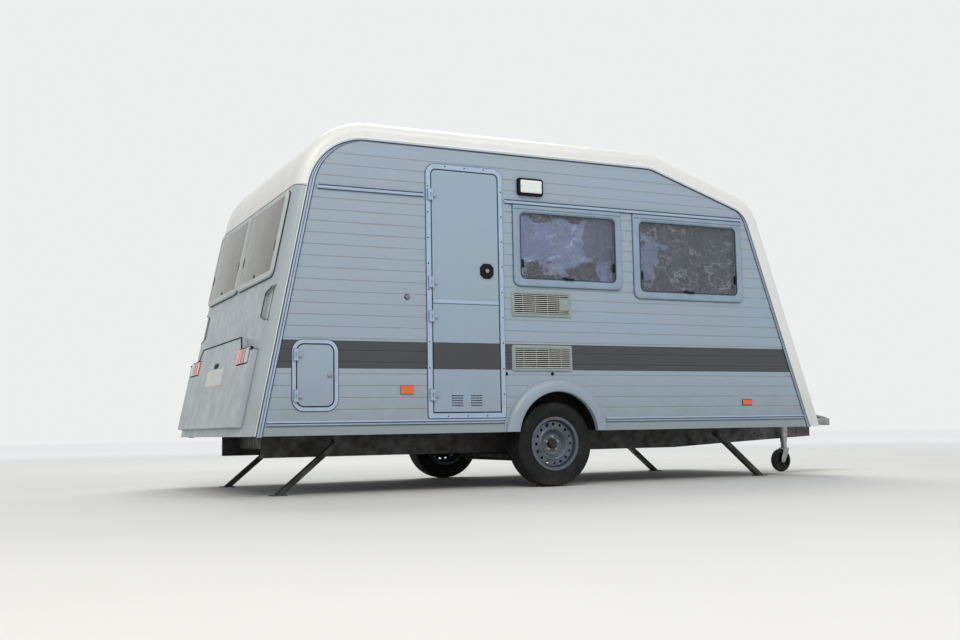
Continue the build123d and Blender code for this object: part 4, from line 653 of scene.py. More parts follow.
FINISHES = {
    # Stoved sheet: an even satin skin, dirt lying in its grooves, a dark band of film, and its cream lining
    # within. Stucco embossing is 1 to 2 mm across, drawn at 4 mm so that it shows.
    "sheet": Finish(
        "shell_paint", "Stove-enamelled aluminium sheet", "sheet", 0.38,
        films=[
            (patches(0.7, 0, 0.5), "92A4B7"),
            (patches(0.05, 0, 0.10, stretch=(1, 1, 0.06)), "939D9C"),
            (overlap(grooves, patches(0.4, 0.08, 0.45)), "8C8F7E"),
            # Darker low down, from 0.30 to 0.55 m: partly grime, partly painted shade near the ground
            (overlap(reach("Z", 0.30, 0.55, 0.25), patches(0.16, 0.05, 0.40)), "868E89"),
            (reach("Z", 0.30, 0.47), "8C999F"),
            (STRIPE, "stripe"),
            (WITHIN, LINING),
        ],
        rough=patches(0.09, 0.30, 0.46),
        bumps=[(patches(0.35), 0.0012), grain(0.004, 0.00006)],
        even={"Coat Weight": 0.15},
    ),
    # Roller-coated skin of door and locker lid: smooth, a little bluer than the sheets, darker toward its foot
    "door": Finish(
        "door_paint", "Roller-coated aluminium door skin", "door", 0.36,
        films=[
            (patches(0.35, 0, 0.4), "93A5B5"),
            (overlap(reach("Z", 0.4, 0.60, 0.3), patches(0.2, 0.1, 0.5)), "88959A"),
            (overlap(STRIPE, reach("X", DOOR[0], DOOR[1])), "stripe"),
            (WITHIN, LINING),
        ],
        rough=patches(0.12, 0.30, 0.42),
        bumps=[(patches(0.40), 0.0010), grain(0.004, 0.00005)],
        even={"Coat Weight": 0.1},
    ),
    # Glass fibre of the roof, its caps and the front: white, the fibre's long waves just showing
    "moulding": gel_coat("Gel-coated glass-fibre moulding", "moulding", "D9DBD8", "BDC0B8"),
    # Glass fibre of the rear wall and skirt: the same white, darkened to green-grey by painted shade
    "gel_coat_painted_shade": gel_coat("Gel-coated moulding in painted shade", "end_wall", "99A4AA", "8F9693"),
    # Glass fibre of the wheel arches: sprayed to match the sheets, with road film at the foot
    "arch": gel_coat("Sprayed glass-fibre arch", "sheet", "93A5B4", "7F898C"),
    # Powder-coated strips, rails and door frame: pale blue-grey, satin, rubbed edges
    "extrusion": Finish(
        "trim_aluminium", "Powder-coated aluminium extrusion", "strip", 0.36, [(patches(0.09, 0, 0.5), "97AABF")],
        patches(0.03, 0.28, 0.45), [grain(0.003, 0.00005)], {"Coat Weight": 0.1},
    ),
    # PVC filler and dried mastic in the joints: blue-black gone dull, dust along it
    "filler": Finish(
        "black_plastic", "Extruded PVC filler", "2B3644", 0.6, [(patches(0.05, 0, 0.5), "3C4754")],
        bumps=[grain(0.005, 0.0001)],
    ),
    # Mastic round the grab recesses: squeezed out and gone brown, with dust stuck in it; its line also stands for
    # painted shade along the recess rims
    "mastic": Finish(
        "black_plastic", "Butyl mastic", "5A5142", 0.75, [(patches(0.02, 0, 0.8), "3F382D")],
        bumps=[(patches(0.008), 0.0006)],
    ),
    # Painted window frame section: semi-matt blue-grey, chalked along its upper edges
    "frame": Finish(
        "window_frame", "Painted window frame section", "frame", 0.42, [(patches(0.12, 0, 0.45), "96A9BB")],
        patches(0.05, 0.36, 0.52), [grain(0.005, 0.00006)],
    ),
    # Cast acrylic of the side panes: faintly grey and glossy, with the slight haze of many washings
    "pane": Finish(
        "window_pane", "Cast acrylic pane", "D6DADC", 0.06, (), patches(0.10, 0.03, 0.10),
        [(patches(0.25), 0.0006)], {"Transmission Weight": 1.0, "IOR": 1.49},
    ),
    # Blow-formed double acrylic of the end windows: grey tint, glossy, slightly wavy
    # Its greenish-grey tint and pale speckles are a painted reflection of trees
    "smoked": Finish(
        "window_pane", "Smoked double acrylic", "5F655C", 0.05,
        [(patches(0.3, 0, 0.6), "6B6859"), (patches(0.02, 0, 0.3), "84877B")], patches(0.10, 0.03, 0.12),
        [(patches(0.30), 0.0012)], {"Transmission Weight": 0.6, "IOR": 1.49},
    ),
    # Border printed on the inner pane of the end windows: matt warm grey
    "border": Finish(
        "window_frame", "Printed acrylic border", "BAC0BF", 0.5, [(patches(0.12, 0, 0.6), "ADB4B3")],
        bumps=[(patches(0.006), 0.00005)],
    ),
    # Metallised film over wadding: lilac patches of painted sky reflection, brown lower down, pale crease lines of
    # painted highlight
    "foil": Finish(
        "window_pane", "Aluminised polyester film", "foil", 0.3, foil_films, patches(0.06, 0.24, 0.40),
        [(patches(0.11, detail=5.0), 0.006), (patches(0.025), 0.0008)], {"Metallic": 0.3},
    ),
    # Pleated blind: plain weave, cream, threads 0.4 mm apart drawn at 3 mm so that they show
    "blind": Finish(
        "window_pane", "Pleated polyester blind", "D2CCBE", 0.85, [(patches(0.2, 0, 0.5), "C2BBAB")],
        bumps=[(pattern("TexWave", 50.0, 1, bands_direction="Y"), 0.0002)], even={"Sheen Weight": 0.2},
    ),
    # EPDM of seals and gaiter: matt black gone grey, with pale dust
    "rubber": Finish(
        "black_plastic", "Extruded EPDM rubber", "rubber", 0.7, [(patches(0.03, 0, 0.5), "212224")],
        bumps=[(patches(0.004), 0.0001)], even={"Specular IOR Level": 0.35},
    ),
    # Tyre rubber: near black, brown-grey dust in its tread and on its shoulders
    "tyre": Finish(
        "tyre_rubber", "Vulcanised tyre rubber", "rubber", 0.66,
        [
            (patches(0.04, 0, 0.4), "1B1B1B"),
            (overlap(reach("Z", -0.02, 0.03, 0.05), patches(0.03, 0.2, 0.9)), "3C372F"),
        ],
        patches(0.05, 0.55, 0.8), [(patches(0.006), 0.0002)], {"Specular IOR Level": 0.3},
    ),
    # Moulded ABS of catches, cases and fittings: grained black, scuffed a little lighter
    "abs": Finish(
        "black_plastic", "Grained black ABS", "0C0D0F", 0.65, [(patches(0.02, 0, 0.6), "16171A")],
        bumps=[grain(0.003, 0.0001)], even={"Specular IOR Level": 0.2},
    ),
    # Injection-moulded vents: cream, yellowed by sun, dirt lying in their corners
    "cream": Finish(
        "vent_plastic", "Moulded cream polystyrene", "vent", 0.42,
        [(patches(0.05, 0, 0.6), "899692"), (patches(0.012, 0, 0.2), "6E7774")], bumps=[grain(0.004, 0.00006)],
    ),
    # Moulded ABS of slats, hatch frame, handles and plate: off-white, chalked by the sun
    "white": Finish(
        "vent_plastic", "Moulded white ABS", "D0D1CB", 0.42, [(patches(0.08, 0, 0.6), "C0C1B9")],
        bumps=[grain(0.004, 0.00006)],
    ),
    # Opal lens of lamp and hatch: white and softly see-through
    "opal": Finish(
        "lamp_lens", "Opal polycarbonate lens", "F1EFEC", 0.25, [(patches(0.03, 0, 0.5), "E6E2DC")],
        bumps=[(patches(0.01), 0.0002)],
        even={"Subsurface Weight": 0.3, "Subsurface Scale": 0.01, "IOR": 1.58},
    ),
    # Rear and brake lamps: deep red; turn lamps and reflectors: orange; reversing and marker lamps: clear
    "red": lamp_lens("Red acrylic lens", "B3201A", "5E0C0A"),
    "amber": lamp_lens("Amber acrylic lens", "F06A2E", "DE5222"),
    "clear": lamp_lens("Clear acrylic lens", "D9DADA", "8F9496"),
    # Galvanised channels of the chassis: dull grey spangle, road dirt, rust at edges and low down
    # Its grey base and heavy dark road dirt are darkened as painted shade under the body
    "galvanised": Finish(
        "galvanised", "Hot-dip galvanised steel", "525656", 0.6,
        [
            (spangle, "606565"),
            (patches(0.12, 0.3, 0.9), "2E2D2B"),
            (overlap(patches(0.05, 0, 0.5, spread=0.05), patches(0.3, 0, 0.6)), "48352A"),
        ],
        patches(0.06, 0.42, 0.75), [(patches(0.006), 0.0002)], {"Metallic": 0.4},
    ),
    # Forged and painted steel of axle, arms and drums: black paint over brown rust
    "forged": Finish(
        "drum_iron", "Painted forged steel", "1A1C1E", 0.65,
        [(patches(0.08, 0, 0.6), "272624"), (patches(0.025, 0, 0.35, spread=0.08), "3A2C24")],
        patches(0.03, 0.5, 0.85), [(patches(0.004), 0.0003)], {"Metallic": 0.1},
    ),
    # Zinc-plated small parts: bright grey going white and brown in patches
    "zinc": Finish(
        "galvanised", "Zinc-plated steel", "A4A7A7", 0.35, [(patches(0.02, 0, 0.6), "7B7C79")],
        patches(0.02, 0.28, 0.55), [(patches(0.004), 0.00008)], {"Metallic": 0.9},
    ),
    # Stoved silver enamel of the rims: fine flake, brake dust in the dish, chips at the rim
    # Its silver is darkened and blued by painted shade, through the wheel colour
    "wheel": Finish(
        "wheel_paint", "Stoved silver wheel enamel", "wheel", 0.45,
        [
            (patches(0.06, 0, 0.65), "4D5258"),
            (overlap(patches(0.008, 0, 0.8, spread=0.03), patches(0.07, 0, 0.5)), "463A32"),
        ],
        patches(0.04, 0.36, 0.6), [(patches(0.004), 0.0001)], {"Metallic": 0.4},
    ),
    # Floor painted with bitumen underneath: dark brown, grain 3 mm apart showing through
    "floor ply": Finish(
        "", "Bitumen-painted plywood", "282420", 0.85,
        [(FLOOR_GRAIN, "352F28"), (patches(0.2, 0, 0.5), "1D1B18")], bumps=[(FLOOR_GRAIN, 0.0004)],
    ),
    # Paper-faced lining of the gas locker: pale wood print, satin
    "lining ply": Finish(
        "", "Paper-faced plywood lining", "B9A587", 0.5, [(LINING_GRAIN, "A58E6D")], bumps=[(LINING_GRAIN, 0.0001)],
    ),
    # Seamless studio floor: matt and pale, glowing a little with distance so that it meets the background
    "studio": Finish(
        "", "Seamless studio floor", "D5D5D2", 0.9, [(patches(1.2, 0, 0.5), "D0D0CD")],
        even={"Emission Color": "E9EBEC", "Emission Strength": far_off},
    ),
}


@cache
def finish(key):
    """Material of a finish, made once: one shader, its colour, roughness and normal linked where they vary."""
    look = FINISHES[key]
    material = bpy.data.materials.new(look.material)
    material.use_nodes = True
    tree = material.node_tree
    tree.nodes.clear()
    place = add_node(tree, "TexCoord", {}).outputs["Object"]
    values = {"Base Color": rgba(look.colour), "Roughness": look.roughness}
    for socket, value in look.even.items():
        values[socket] = rgba(value) if isinstance(value, str) else value(tree, place) if callable(value) else value
    shader = add_node(tree, "BsdfPrincipled", values)
    add_node(tree, "OutputMaterial", {"Surface": shader.outputs[0]})

    colour, normal = rgba(look.colour), None
    for mask, over in look.films(tree, place) if callable(look.films) else look.films:
        layers = {0: mask(tree, place), 6: colour, 7: rgba(over)}
        colour = add_node(tree, "Mix", layers, data_type="RGBA").outputs[2]
    for height, depth in look.bumps:
        inputs = {"Height": height(tree, place), "Distance": depth, "Strength": 1.0}
        inputs |= {"Normal": normal} if normal else {}
        normal = add_node(tree, "Bump", inputs).outputs[0]
    varied = {"Base Color": colour if look.films else None, "Normal": normal}
    varied["Roughness"] = look.rough(tree, place) if look.rough else None
    for socket, output in varied.items():
        if output:
            tree.links.new(output, shader.inputs[socket])
    return material


def length_value(name, words, metres):
    """Length a user may change."""
    return FloatProperty(name=name, description=words, default=metres, unit="LENGTH")


def colour_value(name, words, code):
    """Colour a user may change, given in sRGB hex."""
    return FloatVectorProperty(name=name, description=words, subtype="COLOR", min=0, max=1, default=linear(code))


class CaravanSizes(bpy.types.PropertyGroup):
    """Sizes of the surface work; the body's own sizes come from the frame."""

    rib_pitch: length_value("Rib pitch", "Height of one rolled rib of the side sheets", 0.079)
    rib_top: length_value("Top rib", "Height of the uppermost groove of the side sheets", 2.305)
    groove_width: length_value("Groove width", "Width of the groove between two ribs", 0.012)
    groove_depth: length_value("Groove depth", "Depth of the groove between two ribs", 0.0028)
    frame_step: length_value("Frame step", "How far a window frame steps down to its pane", 0.006)
    pane_corner: length_value("Pane corner", "Corner radius of a window pane", 0.036)
    screw_pitch: length_value("Screw pitch", "Distance between the screws of a trim", 0.180)
    tread_depth: length_value("Tread depth", "Depth of the road tyres' tread", 0.007)
    slat_pitch: length_value("Slat pitch", "Distance between the slats of a side vent", 0.0142)
    foil_crumple: length_value("Foil crumple", "Depth of the creases of the foil blinds", 0.020)


class CaravanColours(bpy.types.PropertyGroup):
    """Main colours of the caravan."""

    # Sheet, arches, door, end wall, stripe, strips, frames, vents and wheels are darker and bluer than their paint:
    # painted shade of a side in open shade under blue sky
    sheet: colour_value("Side sheet", "Enamel of the ribbed side sheets", "93A3B0")
    door: colour_value("Door", "Skin of the door and locker lid", "91A3B4")
    moulding: colour_value("Roof moulding", "Gel coat of the roof, its caps and the front", "E3E3E0")
    end_wall: colour_value("End wall", "Gel coat of the rear wall and its skirt", "A4AFB4")
    stripe: colour_value("Stripe", "Band of film along the sides", "393B41")
    strip: colour_value("Strips", "Coating of strips, rails and door frame", "A2B5CB")
    frame: colour_value("Window frame", "Painted window frame section", "8396A7")
    rubber: colour_value("Rubber", "Seals and tyres", "0E0F11")
    foil: colour_value("Foil", "Insulating foil behind the side windows", "6A6D80")
    vent: colour_value("Vent", "Plastic of the side vents", "93A09F")
    wheel: colour_value("Wheel", "Enamel of the steel wheels", "616B79")


def meet(point, way, other, other_way):
    """Where two lines cross: how far along the first its offset to the second is, by cross products."""
    gap = np.subtract(other, point)
    run = (gap[0] * other_way[1] - gap[1] * other_way[0]) / (way[0] * other_way[1] - way[1] * other_way[0])
    return np.add(point, run * np.array(way))


def rounded_path(corners, radii, steps=12):
    """Straight runs with an arc at each inner corner, its centre on the bisector at radius over sine of half."""
    corners = [np.array(c, float) for c in corners]
    path = [corners[0][None]]
    for before, here, after, radius in zip(corners, corners[1:], corners[2:], radii):
        back = (before - here) / np.linalg.norm(before - here)
        ahead = (after - here) / np.linalg.norm(after - here)
        half = math.acos(float(np.clip(back @ ahead, -1, 1))) / 2
        middle = (back + ahead) / np.linalg.norm(back + ahead)
        centre = here + middle * radius / math.sin(half)
        start = (here + back * radius / math.tan(half) - centre) / radius
        end = (here + ahead * radius / math.tan(half) - centre) / radius
        sweep = math.pi - 2 * half
        side = (end - math.cos(sweep) * start) / math.sin(sweep)
        turn = np.linspace(0, sweep, steps + 1)[:, None]
        path.append(centre + radius * (np.cos(turn) * start + np.sin(turn) * side))
    path.append(corners[-1][None])
    return np.concatenate(path)


def outline(top, rear, front, bottom=0.0):
    """Side outline of the body as (x, z), drawn in from its roof, rear and front, from its rear foot to its front."""
    sole = BODY_BOTTOM + bottom
    rear_way = (math.sin(REAR_LEAN), math.cos(REAR_LEAN))
    front_way = (-math.sin(FRONT_LEAN), math.cos(FRONT_LEAN))
    nose_way = (math.cos(NOSE_PITCH), -math.sin(NOSE_PITCH))
    rear_foot = (REAR_FOOT_X + rear / math.cos(REAR_LEAN) + bottom * math.tan(REAR_LEAN), sole)
    front_foot = (FRONT_FOOT_X - front / math.cos(FRONT_LEAN) - bottom * math.tan(FRONT_LEAN), sole)
    nose = (NOSE_BREAK_X - top * math.sin(NOSE_PITCH), ROOF_Z - top * math.cos(NOSE_PITCH))
    roof = ((0.0, ROOF_Z - top), (1.0, 0.0))
    rear_bend, brow = meet(rear_foot, rear_way, *roof), meet(nose, nose_way, front_foot, front_way)
    corners = [rear_foot, rear_bend, meet(*roof, nose, nose_way), brow, front_foot]
    radii = (BEND_RADII["rear"] - (top + rear) / 2, BEND_RADII["nose"] - top, BEND_RADII["brow"] - (top + front) / 2)
    return rounded_path(corners, radii, steps=16)


def side_band(plane, outer, inner, profile):
    """Profile of (fraction from outer to inner outline, out) points carried along both outlines, ends closed."""
    share, out = np.array(profile, float).T
    share = share[None, :, None]
    path = outer[:, None] * (1 - share) + inner[:, None] * share
    return shell(placed(plane, path[..., 0], path[..., 1], out))


def hole(plane, box, radius):
    """Closed prism through a wall, to cut with."""
    return plate(plane, box, radius, [(0, -CUT_REACH), (0, CUT_REACH)])


def arch_hole(plane):
    """Prism of the wheel opening: a half circle over the axle, straight down below it."""
    turn = arc(0, 180, 48)
    x = AXLE[0] + ARCH_CUT_R * np.append(np.cos(turn), (-1, 1))
    z = np.append(ARCH_Z + ARCH_CUT_R * np.sin(turn), (0.2, 0.2))
    return shell(np.stack([placed(plane, x, z, out) for out in (-CUT_REACH, CUT_REACH)]))


def ribbed_section(size):
    """Section of a ribbed sheet: heights, depth of the grooves at each, and the ends of the sheet there.

    The heights are those of the grooves' edges and of the outline's points. Depth and ends are read off
    between them in straight lines.
    """
    edge = outline(SHEET_TOP, SHEET_REAR, SHEET_FRONT)
    crown = int(np.argmax(edge[:, 1] > SHEET_TOP_Z - 1e-5))
    rear, front = edge[: crown + 1], edge[crown + 1 :][::-1]
    middles = np.arange(size.rib_top, BODY_BOTTOM + LOWEST_GROOVE, -size.rib_pitch)
    half, flat = size.groove_width / 2, size.groove_width / 8
    steps = np.array([(-half, 0), (-flat, -size.groove_depth), (flat, -size.groove_depth), (half, 0)])
    lines_z = (middles[:, None] + steps[:, 0]).ravel()
    lines_d = np.broadcast_to(steps[:, 1], (len(middles), 4)).ravel()
    order = np.argsort(lines_z)
    z = np.unique(np.round(np.concatenate([lines_z, rear[:, 1], front[:, 1]]), 5))
    z = z[np.concatenate([[True], np.diff(z) > 0.0004])]
    z[-1] = SHEET_TOP_Z
    depth = np.interp(z, lines_z[order], lines_d[order], left=0, right=0)
    return z, depth, np.interp(z, rear[:, 1], rear[:, 0]), np.interp(z, front[:, 1], front[:, 0])


class Work(bpy.types.Operator):
    """One group of the caravan's pieces"""

    bl_options = {"REGISTER", "UNDO"}


class CARAVAN_OT_side_sheets(Work):
    """Ribbed side sheets with their window, door, locker and wheel openings"""

    bl_idname = "caravan.side_sheets"
    bl_label = "Side sheets"

    def execute(self, context):
        z, depth, x0, x1 = ribbed_section(context.scene.caravan_sizes)
        back = np.full_like(depth, -WALL_T)
        x, out = np.stack([x0, x1, x1, x0], 1), np.stack([depth, depth, back, back], 1)
        joint = mm(-4, -1, -4, 1.2, 3, 1.6, 4, -1) + (SHEET_SEAM_X, 0)
        for side, plane in SIDES.items():
            slab = shell(placed(plane, x, z[:, None], out))
            piece = add_piece(f"side_sheet_{side}", [slab], "sheet", replaces=[f"side_wall_{side}"], sharp=10)
            windows = [inset_box(from_axle(box), WINDOW_LAP) for box in SIDE_WINDOWS[side]]
            openings = [*(hole(plane, box, LAP_R) for box in windows), arch_hole(plane)]
            if side == "right":
                door_r, half = (0.004, DOOR_RADII[1] - DOOR_FRAME_W / 2), LOCKER_FRAME_W / 2
                openings.append(hole(plane, inset_box(DOOR, DOOR_FRAME_W / 2), door_r))
                openings.append(hole(plane, inset_box(LOCKER, half), LOCKER_R - half))
            cut(piece, openings, sharp=10)
            run = bar(plane, corner("window_rails", 1)[2] + 0.004, SHEET_TOP_Z - 0.004, joint, upright=True)
            add_piece(f"sheet_joint_{side}", [run], "sheet")
        return {"FINISHED"}


def shell_seam(plane, v, drop):
    """Path over the shell at one height v of a plane: up one side, round its edge, across and down the other."""
    corners = [(-HALF_WIDTH, -drop), (-HALF_WIDTH, 0), (HALF_WIDTH, 0), (HALF_WIDTH, -drop)]
    y, out = rounded_path(corners, (EDGE_R, EDGE_R)).T
    return placed(plane, y, v, out)


def rear_skin(y):
    """How far the rear wall's skin lies inside its plane: nothing, then a circle's fall near its side edges."""
    past = np.clip(np.abs(y) - (HALF_WIDTH - EDGE_R), 0, EDGE_R)
    return np.sqrt(EDGE_R**2 - past**2) - EDGE_R


class CARAVAN_OT_mouldings(Work):
    """Glass-fibre roof, rear and front with eased edges, their joints and the lip over the sheets"""

    bl_idname = "caravan.mouldings"
    bl_label = "Roof, rear and front"

    def execute(self, context):
        for node in ("rear_cap", "roof_panel", "front_cap", "front_wall"):
            eased_copy(node + "_moulding", node, "moulding")
        eased_copy("rear_wall_moulding", "rear_wall", "gel_coat_painted_shade")
        lip = [(0, -0.004), (0, 0.0015), (0.25, 0.0035), (0.8, 0.0045), (1, 0.003), (1, -0.004)]
        low = outline(SHEET_TOP - 0.012, SHEET_REAR - 0.010, SHEET_FRONT - 0.011)
        high = outline(SHEET_TOP - 0.026, SHEET_REAR - 0.016, SHEET_FRONT - 0.022)
        for side, plane in SIDES.items():
            add_piece(f"moulding_lip_{side}", [side_band(plane, high, low, lip)], "moulding")
        ways = np.eye(3)
        planes = [(np.array((x, 0, ROOF_Z)), ways[1], ways[0], ways[2]) for x in ROOF_SEAM_XS]
        beads = [tube(shell_seam(plane, 0, SHEET_TOP - 0.012), 0.0022) for plane in planes]
        add_piece("roof_joint_beads", beads, "moulding")
        seam = shell_seam(REAR, up_slope(REAR_SEAM_Z, REAR_LEAN), SHEET_REAR - 0.004)
        add_piece("rear_joint", [tube(seam, 0.0022)], "filler")

        # Mastic and painted shade round each grab recess: along its upper edge, down its inner end, back, and down
        # its outer line
        run = np.linspace(GRAB["line_y"], GRAB["inner_y"], 16)
        share = (run - GRAB["inner_y"]) / (HALF_WIDTH - GRAB["inner_y"])
        half = (GRAB["inner_h"] + share * (GRAB["outer_h"] - GRAB["inner_h"])) / 2
        z = GRAB["z"] + np.concatenate([half, half[-1] * np.linspace(0.8, -0.8, 9), -half[::-1]])
        line_z = GRAB["z"] + half[0] * np.array((-1, 0, 1))
        rims = []
        for sign in (-1, 1):
            y = sign * np.concatenate([run, np.full(9, run[-1]), run[::-1]])
            rims.append(tube(placed(REAR, y, up_slope(z, REAR_LEAN), rear_skin(y)), 0.0042))
            line = placed(REAR, np.full(3, y[0]), up_slope(line_z, REAR_LEAN), -GRAB["depth"])
            rims.append(tube(line, 0.0030))
        add_piece("grab_recess_mastic_and_shade", rims, "mastic")
        return {"FINISHED"}


def past_sheet(*past, bottom=-0.006):
    """Outline past the sheet's own edge by so much at the roof, the rear and the front."""
    return outline(*(edge + by for edge, by in zip((SHEET_TOP, SHEET_REAR, SHEET_FRONT), past)), bottom=bottom)


class CARAVAN_OT_edge_strips(Work):
    """Aluminium strips over the joints of sheets and mouldings, with dark fillers, and the sill rails"""

    bl_idname = "caravan.edge_strips"
    bl_label = "Edge strips and sill rails"

    def execute(self, context):
        strip = [(0, -0.001), (0, 0.003), (0.06, 0.005), (0.94, 0.005), (1, 0.003), (1, -0.001)]
        outer = past_sheet(-STRIP_LAP, -STRIP_LAP, -STRIP_LAP)
        inner = past_sheet(*(width - STRIP_LAP for width in STRIP_WIDTHS))
        shapes = [side_band(plane, outer, inner, strip) for plane in (RIGHT, LEFT)]
        add_piece("edge_strip_extrusions", shapes, "extrusion", replaces=["edge_strips"])
        # The outermost filler is widened along the roof: painted shadow under the moulding's lip
        fillers = (
            (0.0064, past_sheet(-0.0005, -0.0070, -0.0095), past_sheet(0.0075, -0.0015, -0.0030)),
            (0.0060, past_sheet(0.0025, 0.0108, 0.0035), past_sheet(0.0045, 0.0163, 0.0080)),
            (0.0060, past_sheet(0.0035, 0.0285, 0.0145), past_sheet(0.0055, 0.0345, 0.0195)),
        )
        fills = []
        for top, outer, inner in fillers:
            bead = [(0, -0.001), (0, top - 0.0009), (0.15, top), (0.85, top), (1, top - 0.0009), (1, -0.001)]
            fills += [side_band(plane, outer, inner, bead) for plane in (RIGHT, LEFT)]
        add_piece("edge_strip_fillers", fills, "filler")

        low, high = corner("sill_rails", 0), corner("sill_rails", 1)
        arch = math.sqrt(ARCH_FOOT_R**2 - (low[2] - ARCH_Z) ** 2) + 0.003
        runs = ((low[0], AXLE[0] - arch), (AXLE[0] + arch, high[0]))
        foot_z, head_z = (low[2], 0), (high[2], 0)
        rail = [
            *mm(0, -1, 0, 9, 4, 13, 10, 14, 12, 11) + foot_z, *mm(-12, 11, -10, 14, -4, 13, 0, 9, 0, -1) + head_z,
        ]
        rails = [bar(plane, *run, rail) for plane in (RIGHT, LEFT) for run in runs]
        add_piece("sill_rail_extrusions", rails, "extrusion", replaces=["sill_rails"])
        fill = [*mm(11, 10, 12, 12.5) + foot_z, *mm(-12, 12.5, -11, 10) + head_z]
        foot = mm(-4, -1, -4, 6, 1, 8, 1, -1) + foot_z
        fills = [bar(plane, *run, s) for plane in (RIGHT, LEFT) for run in runs for s in (fill, foot)]
        add_piece("sill_rail_fillers", fills, "filler")
        return {"FINISHED"}


class CARAVAN_OT_windows(Work):
    """Side and end windows: frames, seals, panes, catches, stays and the rails over them"""

    bl_idname = "caravan.windows"
    bl_label = "Windows"

    def execute(self, context):
        size = context.scene.caravan_sizes
        self.sides(size.pane_corner, size.frame_step)
        self.ends()
        self.rails()
        return {"FINISHED"}

    def sides(self, pane_r, step):
        """Frames hung from the rail, square at their heads, with a dark seal round the pane and one behind."""
        frames, seals, panes, fittings = [], [], [], []
        face = 0.0195
        foot = face - step
        rail_foot = (corner("window_rails", 0)[2], 0)
        frame_profile = [
            *mm(0, -0.5, 0, 11, 2.5, 15.5), (0.007, face - 0.001), (0.013, face), (0.030, face + 0.001),
            (0.044, face, pane_r + 0.012), (0.050, foot, pane_r + 0.006), (0.058, foot, pane_r),
            (0.058, -WALL_T, pane_r), (WINDOW_LAP, -WALL_T, LAP_R), (WINDOW_LAP, -0.0005, LAP_R),
        ]
        pane_seal = [
            (0.0535, 0.010), (0.0535, foot + 0.0016), (0.0570, foot + 0.0026), (0.0625, foot + 0.0016),
            (0.0625, 0.0095),
        ]
        head_line = flat_section(-0.031, -0.028, face - 0.002, face + 0.0020)
        for side, plane in SIDES.items():
            for box in map(from_axle, SIDE_WINDOWS[side]):
                head = (box[3], 0)
                frames.append(ring(plane, box, SIDE_FRAME_RADII, frame_profile))
                # The dark ring round the frame's outer edge and the dark strip from its head up to the rail are
                # partly seal, partly painted shade in those gaps
                seals += [
                    ring(plane, box, SIDE_FRAME_RADII, mm(-2.8, -1, -2.8, 3.5, 0.6, 6, 0.6, -1)),
                    ring(plane, box, pane_r + WINDOW_FRAME_W, pane_seal),
                    bar(plane, box[0] + 0.006, box[1] - 0.006, np.add(head_line, head)),
                    bar(plane, box[0] - 0.006, box[1] + 0.006, [
                        *mm(-1, -1, -1, 12.5) + head, *mm(1, 12.5, 1, -1) + rail_foot,
                    ]),
                ]
                panes.append(plate(plane, inset_box(box, 0.057), pane_r, mm(0, 8.5, 0, 11.5, 1, 12.5, 2, 12.5)))
                x0, x1, low, high = inset_box(box, WINDOW_FRAME_W)
                middle, height = (x0 + x1) / 2, high - low
                catch = (middle - 0.040, middle + 0.034, low - 0.004, low + 0.013)
                lever = (middle - 0.060, middle - 0.020, low + 0.004, low + 0.018)
                fittings.append(plate(plane, catch, 0.004, mm(0, 8, 0, 22, 2, 24.5, 4, 24.5)))
                fittings.append(plate(plane, lever, 0.004, mm(0, 8, 0, 19, 2, 21)))
                for at in (x0 + 0.013, x1 - 0.013):
                    stay = (at - 0.008, at + 0.008, low + 0.16 * height, low + 0.29 * height)
                    fittings.append(plate(plane, stay, 0.007, mm(0, -4, 0, 19, 2, 21.5, 4, 21.5)))
        add_piece("side_window_frames", frames, "frame", replaces=["window_frames"])
        add_piece("side_window_seals", seals, "filler")
        add_piece("side_window_panes", panes, "pane", replaces=["window_panes"])
        add_piece("side_window_catches", fittings, "abs")

    def ends(self):
        """Frameless double panes over a frame in the wall: a thin seal outside and a pale border on each pane."""
        frame_profile = [
            (0.006, -0.0005), (0.006, 0.009), (0.050, 0.009, 0.020), (0.058, 0.007, 0.014), (0.058, -WALL_T, 0.014),
            (WINDOW_LAP, -WALL_T, LAP_R), (WINDOW_LAP, -0.0005, LAP_R),
        ]
        border = [
            *mm(0.5, -1, 0.5, 17, 4.5, 21.5, 10, 23), (0.036, 0.0238, 0.030), (0.040, 0.0225, 0.027),
            (0.040, 0.0205, 0.027),
        ]
        rubber = mm(-4, -1, -4, 3, -1.5, 6, 1, 7, 2, -1)
        pane = mm(0, 12.5, 0, 18, 3, 21.2, 12, 22)
        windows = [(plane, box) for plane, boxes in ENDS.values() for box in boxes]
        frames, borders, seals = (
            [ring(plane, box, WINDOW_CORNER_R, profile) for plane, box in windows]
            for profile in (frame_profile, border, rubber)
        )
        panes = [plate(plane, inset_box(box, 0.003), WINDOW_CORNER_R - 0.003, pane) for plane, box in windows]
        fittings = []
        for plane, box in windows:
            middle, foot = (box[0] + box[1]) / 2, box[2]
            caps = [(middle - 0.020, middle + 0.020, foot + 0.046, foot + 0.068)]
            caps += [(at - 0.008, at + 0.008, foot + 0.18, foot + 0.25) for at in (box[0] + 0.055, box[1] - 0.055)]
            fittings += [plate(plane, cap, 0.006, mm(0, -20, 0, 22.5, 2, 24)) for cap in caps]
        add_piece("end_window_frames", frames, "abs", replaces=["window_frames"])
        add_piece("end_window_borders", borders, "border")
        add_piece("end_window_seals", seals, "rubber")
        add_piece("end_window_panes", panes, "smoked", replaces=["window_panes"])
        add_piece("end_window_catches", fittings, "abs")

